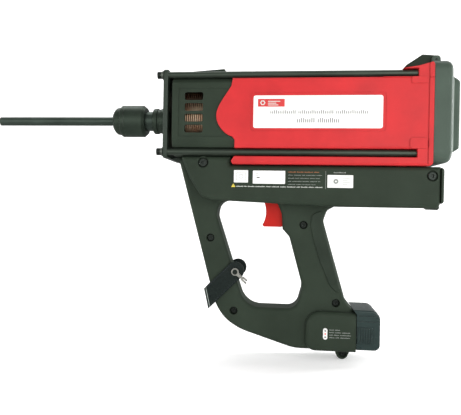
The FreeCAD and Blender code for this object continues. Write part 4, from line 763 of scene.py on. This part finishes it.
def strap_point(share, across, inset):
    """Point of the folded band, and its distance along it.

    share runs from the near end (0) round the slanting fold to the far end (1), across is measured
    from the band's middle line, inset from its outer face.
    """
    low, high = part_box("strap")
    eye = Vector((high.x - STRAP_HALF_WIDTH, 0, high.z - STRAP_HALF_WIDTH))
    lengthways = Vector((DIAGONAL, 0, DIAGONAL))
    crossways = Vector((DIAGONAL, 0, -DIAGONAL))
    fold_top = (low.x - eye.x) / DIAGONAL + STRAP_HALF_WIDTH
    fold_bottom = (low.z - eye.z) / DIAGONAL + STRAP_HALF_WIDTH
    fold = fold_top + (fold_bottom - fold_top) * (across + STRAP_HALF_WIDTH) / (2 * STRAP_HALF_WIDTH)
    end = math.sqrt(max(STRAP_HALF_WIDTH ** 2 - across ** 2, 0.0))
    depth = high.y - inset
    turn = STRAP_TURN - inset
    corner = fold + STRAP_TURN
    straight = end - corner
    quarter = STRAP_TURN * math.pi / 2
    back = 2 * (high.y - STRAP_TURN)
    s = share * (2 * straight + 2 * quarter + back)
    distance = s - straight
    if s < straight:
        along, y = end - s, -depth - STRAP_BOW * math.sin(math.pi * s / straight) ** 2
    elif s < straight + quarter:
        angle = (s - straight) / STRAP_TURN
        along, y = corner - turn * math.sin(angle), -depth + turn * (1 - math.cos(angle))
    elif s < straight + quarter + back:
        along, y = corner - turn, -depth + turn + (s - straight - quarter) * (depth - turn) / (back / 2)
    elif s < straight + 2 * quarter + back:
        angle = (s - straight - quarter - back) / STRAP_TURN
        along, y = corner - turn * math.cos(angle), depth - turn + turn * math.sin(angle)
    else:
        s -= straight + 2 * quarter + back
        along, y = corner + s, depth + STRAP_BOW * math.sin(math.pi * s / straight) ** 2
    return eye + lengthways * along + crossways * across + Vector((0, y, 0)), distance


def strap_section():
    """Rounded cross section of the band as (across, inset) points, anticlockwise."""
    flats = [STRAP_HALF_WIDTH * tenths / 10 for tenths in range(-9, 10, 2)]
    limit = STRAP_HALF_WIDTH - STRAP_MARGIN
    bevel = 0.3 * STRAP_EDGE
    outer = [(-limit, STRAP_EDGE), (-limit + bevel, bevel), (-limit + STRAP_EDGE, 0.0)]
    outer += [(across, 0.0) for across in flats]
    outer += [(limit - STRAP_EDGE, 0.0), (limit - bevel, bevel), (limit, STRAP_EDGE)]
    return outer + [(across, STRAP_THICKNESS - inset) for across, inset in reversed(outer)]


def make_strap(strap_material, thread_material):
    """Folded band with a row of stitches along each edge."""
    builder = bmesh.new()
    uv = builder.loops.layers.uv.new("UVMap")
    section = strap_section()
    rows = []
    for row in range(STRAP_ROWS + 1):
        ring = []
        for across, inset in section:
            place, distance = strap_point(row / STRAP_ROWS, across, inset)
            ring.append((builder.verts.new(place), (distance, across + 4 * inset)))
        rows.append(ring)
    count = len(section)
    for row in range(STRAP_ROWS):
        for i in range(count):
            j = (i + 1) % count
            corners = (rows[row][i], rows[row][j], rows[row + 1][j], rows[row + 1][i])
            face = builder.faces.new([corner[0] for corner in corners])
            face.smooth = True
            for loop, corner in zip(face.loops, corners):
                loop[uv].uv = corner[1]
    for ring in (rows[0], rows[-1][::-1]):
        for i in range(count // 2 - 1):
            corners = (ring[i + 1], ring[i], ring[count - 1 - i], ring[count - 2 - i])
            face = builder.faces.new([corner[0] for corner in corners])
            for loop, corner in zip(face.loops, corners):
                loop[uv].uv = corner[1]
    add_stitches(builder)
    bmesh.ops.recalc_face_normals(builder, faces=builder.faces[:])
    piece = new_piece("folded_strap", builder, [strap_material, thread_material])
    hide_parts("strap")


def add_stitches(builder):
    """Short raised threads along both edges of the outer face."""
    edge_row = STRAP_HALF_WIDTH - STITCH_INSET
    for across in (-edge_row, edge_row):
        for i in range(STITCHES_LEFT_OUT, STITCH_PITCHES - STITCHES_LEFT_OUT):
            start, end = [strap_point((i + part) / STITCH_PITCHES, across, -STITCH_LIFT)[0]
                          for part in STITCH_ENDS]
            way = end - start
            spin = way.to_track_quat("Z", "Y").to_matrix().to_4x4()
            stretch = Matrix.Diagonal((STITCH_RADIUS, STITCH_RADIUS, way.length / 2, 1.0))
            place = Matrix.Translation((start + end) / 2) @ spin @ stretch
            thread = bmesh.ops.create_uvsphere(builder, u_segments=8, v_segments=6, radius=1.0,
                                               matrix=place)
            for vertex in thread["verts"]:
                for face in vertex.link_faces:
                    face.material_index = 1
                    face.smooth = True


# ---------------------------------------------------------------- stage and light
PAPER_GLOW = 0.35
FLOOR_NEAR = -3.0                   # edge of the floor, in front of the tool
BEND_FROM = 1.4                     # where the floor starts to sweep up behind it
BEND_RADIUS = 0.8
BEND_STEPS = 16
BACKDROP_TOP = 3.0
SWEEP_HALF_WIDTH = 4.0


def stage_paint():
    """Matte pale paper."""
    g = Graph("pale_paper")
    tone = g.noise(3.0)
    g.set("Base Color", g.colour_mix(tone, (0.86, 0.86, 0.86, 1.0), (0.89, 0.89, 0.89, 1.0)))
    g.set("Roughness", g.ramp(tone, 0.0, 1.0, 0.85, 0.95))
    g.set("Emission Color", (1.0, 1.0, 1.0, 1.0))
    g.set("Emission Strength", PAPER_GLOW)
    return g.material


def make_stage():
    """Floor that sweeps up into a backdrop behind the tool and does not show in reflections."""
    floor_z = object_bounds()[0].z
    profile = [(FLOOR_NEAR, floor_z), (BEND_FROM, floor_z)]
    for step in range(1, BEND_STEPS + 1):
        angle = math.radians(90 * step / BEND_STEPS)
        y = BEND_FROM + BEND_RADIUS * math.sin(angle)
        z = floor_z + BEND_RADIUS * (1 - math.cos(angle))
        profile.append((y, z))
    profile.append((BEND_FROM + BEND_RADIUS, BACKDROP_TOP))
    builder = bmesh.new()
    columns = [[builder.verts.new((x, y, z)) for y, z in profile]
               for x in (-SWEEP_HALF_WIDTH, SWEEP_HALF_WIDTH)]
    for i in range(len(profile) - 1):
        face = builder.faces.new((columns[0][i], columns[1][i], columns[1][i + 1], columns[0][i + 1]))
        face.smooth = True
    mesh = bpy.data.meshes.new("sweep")
    builder.to_mesh(mesh)
    builder.free()
    sweep = bpy.data.objects.new("sweep", mesh)
    mesh.materials.append(stage_paint())
    bpy.context.scene.collection.objects.link(sweep)
    sweep.visible_glossy = False


WHITE = (1.0, 1.0, 1.0)
WARM = (1.0, 0.99, 0.97)
COOL = (0.97, 0.99, 1.0)
WORLD_STRENGTH = 0.38


def area_light(name, place, target, size, power, colour=WHITE):
    """Rectangular light at a place, aimed at a target; size in metres, power in watts."""
    light = bpy.data.lights.new(name, "AREA")
    light.shape = "RECTANGLE"
    light.size, light.size_y = size
    light.energy = power
    light.color = colour
    lamp = bpy.data.objects.new(name, light)
    way = Vector(target) - Vector(place)
    lamp.rotation_mode = "QUATERNION"
    lamp.rotation_quaternion = way.to_track_quat("-Z", "Y")
    lamp.location = place
    bpy.context.scene.collection.objects.link(lamp)


def make_lights():
    """Soft light from the front and above, narrow lights for the edges, and a pale world."""
    middle = (0.30, 0.0, -0.10)
    area_light("key", (0.85, -1.00, 0.10), middle, (0.7, 0.9), 5.0, WARM)
    area_light("front", (-0.20, -1.45, 0.10), middle, (1.0, 0.8), 3.5, WARM)
    area_light("fill", (1.50, -0.70, 0.15), (0.50, 0.0, 0.0), (0.5, 0.8), 4.0, COOL)
    area_light("top", (0.30, 0.25, 1.25), (0.30, 0.0, 0.0), (1.4, 0.6), 4.0)
    area_light("rim", (1.25, 0.30, -0.05), (0.50, 0.0, -0.10), (0.15, 0.9), 9.0)
    area_light("low_left", (-0.75, -0.40, -0.15), (0.28, 0.0, -0.2), (0.10, 0.9), 6.0)
    area_light("backdrop", (0.30, 0.9, 1.6), (0.30, 2.0, 0.0), (3.0, 0.8), 30.0)
    world = bpy.data.worlds.new("studio")
    bpy.context.scene.world = world
    world.use_nodes = True
    background = world.node_tree.nodes["Background"]
    background.inputs["Color"].default_value = (1.0, 1.0, 1.0, 1.0)
    background.inputs["Strength"].default_value = WORLD_STRENGTH
    bpy.context.scene.view_settings.view_transform = "Standard"


# ---------------------------------------------------------------- scene
MATERIALS = {**make_metals(), **make_plastics(), **make_other_materials()}
dress_frame(MATERIALS)
THREAD = rubber("strap_thread", (0.030, 0.036, 0.040), rough=0.6, dimples=2500.0)
make_strap(MATERIALS["strap_webbing"], THREAD)
INKS = ink_materials()
print_rating_label(INKS)
print_instructions(INKS)
print_charge_legend(INKS)
make_charge_lights()
make_stage()
make_lights()
make_camera()
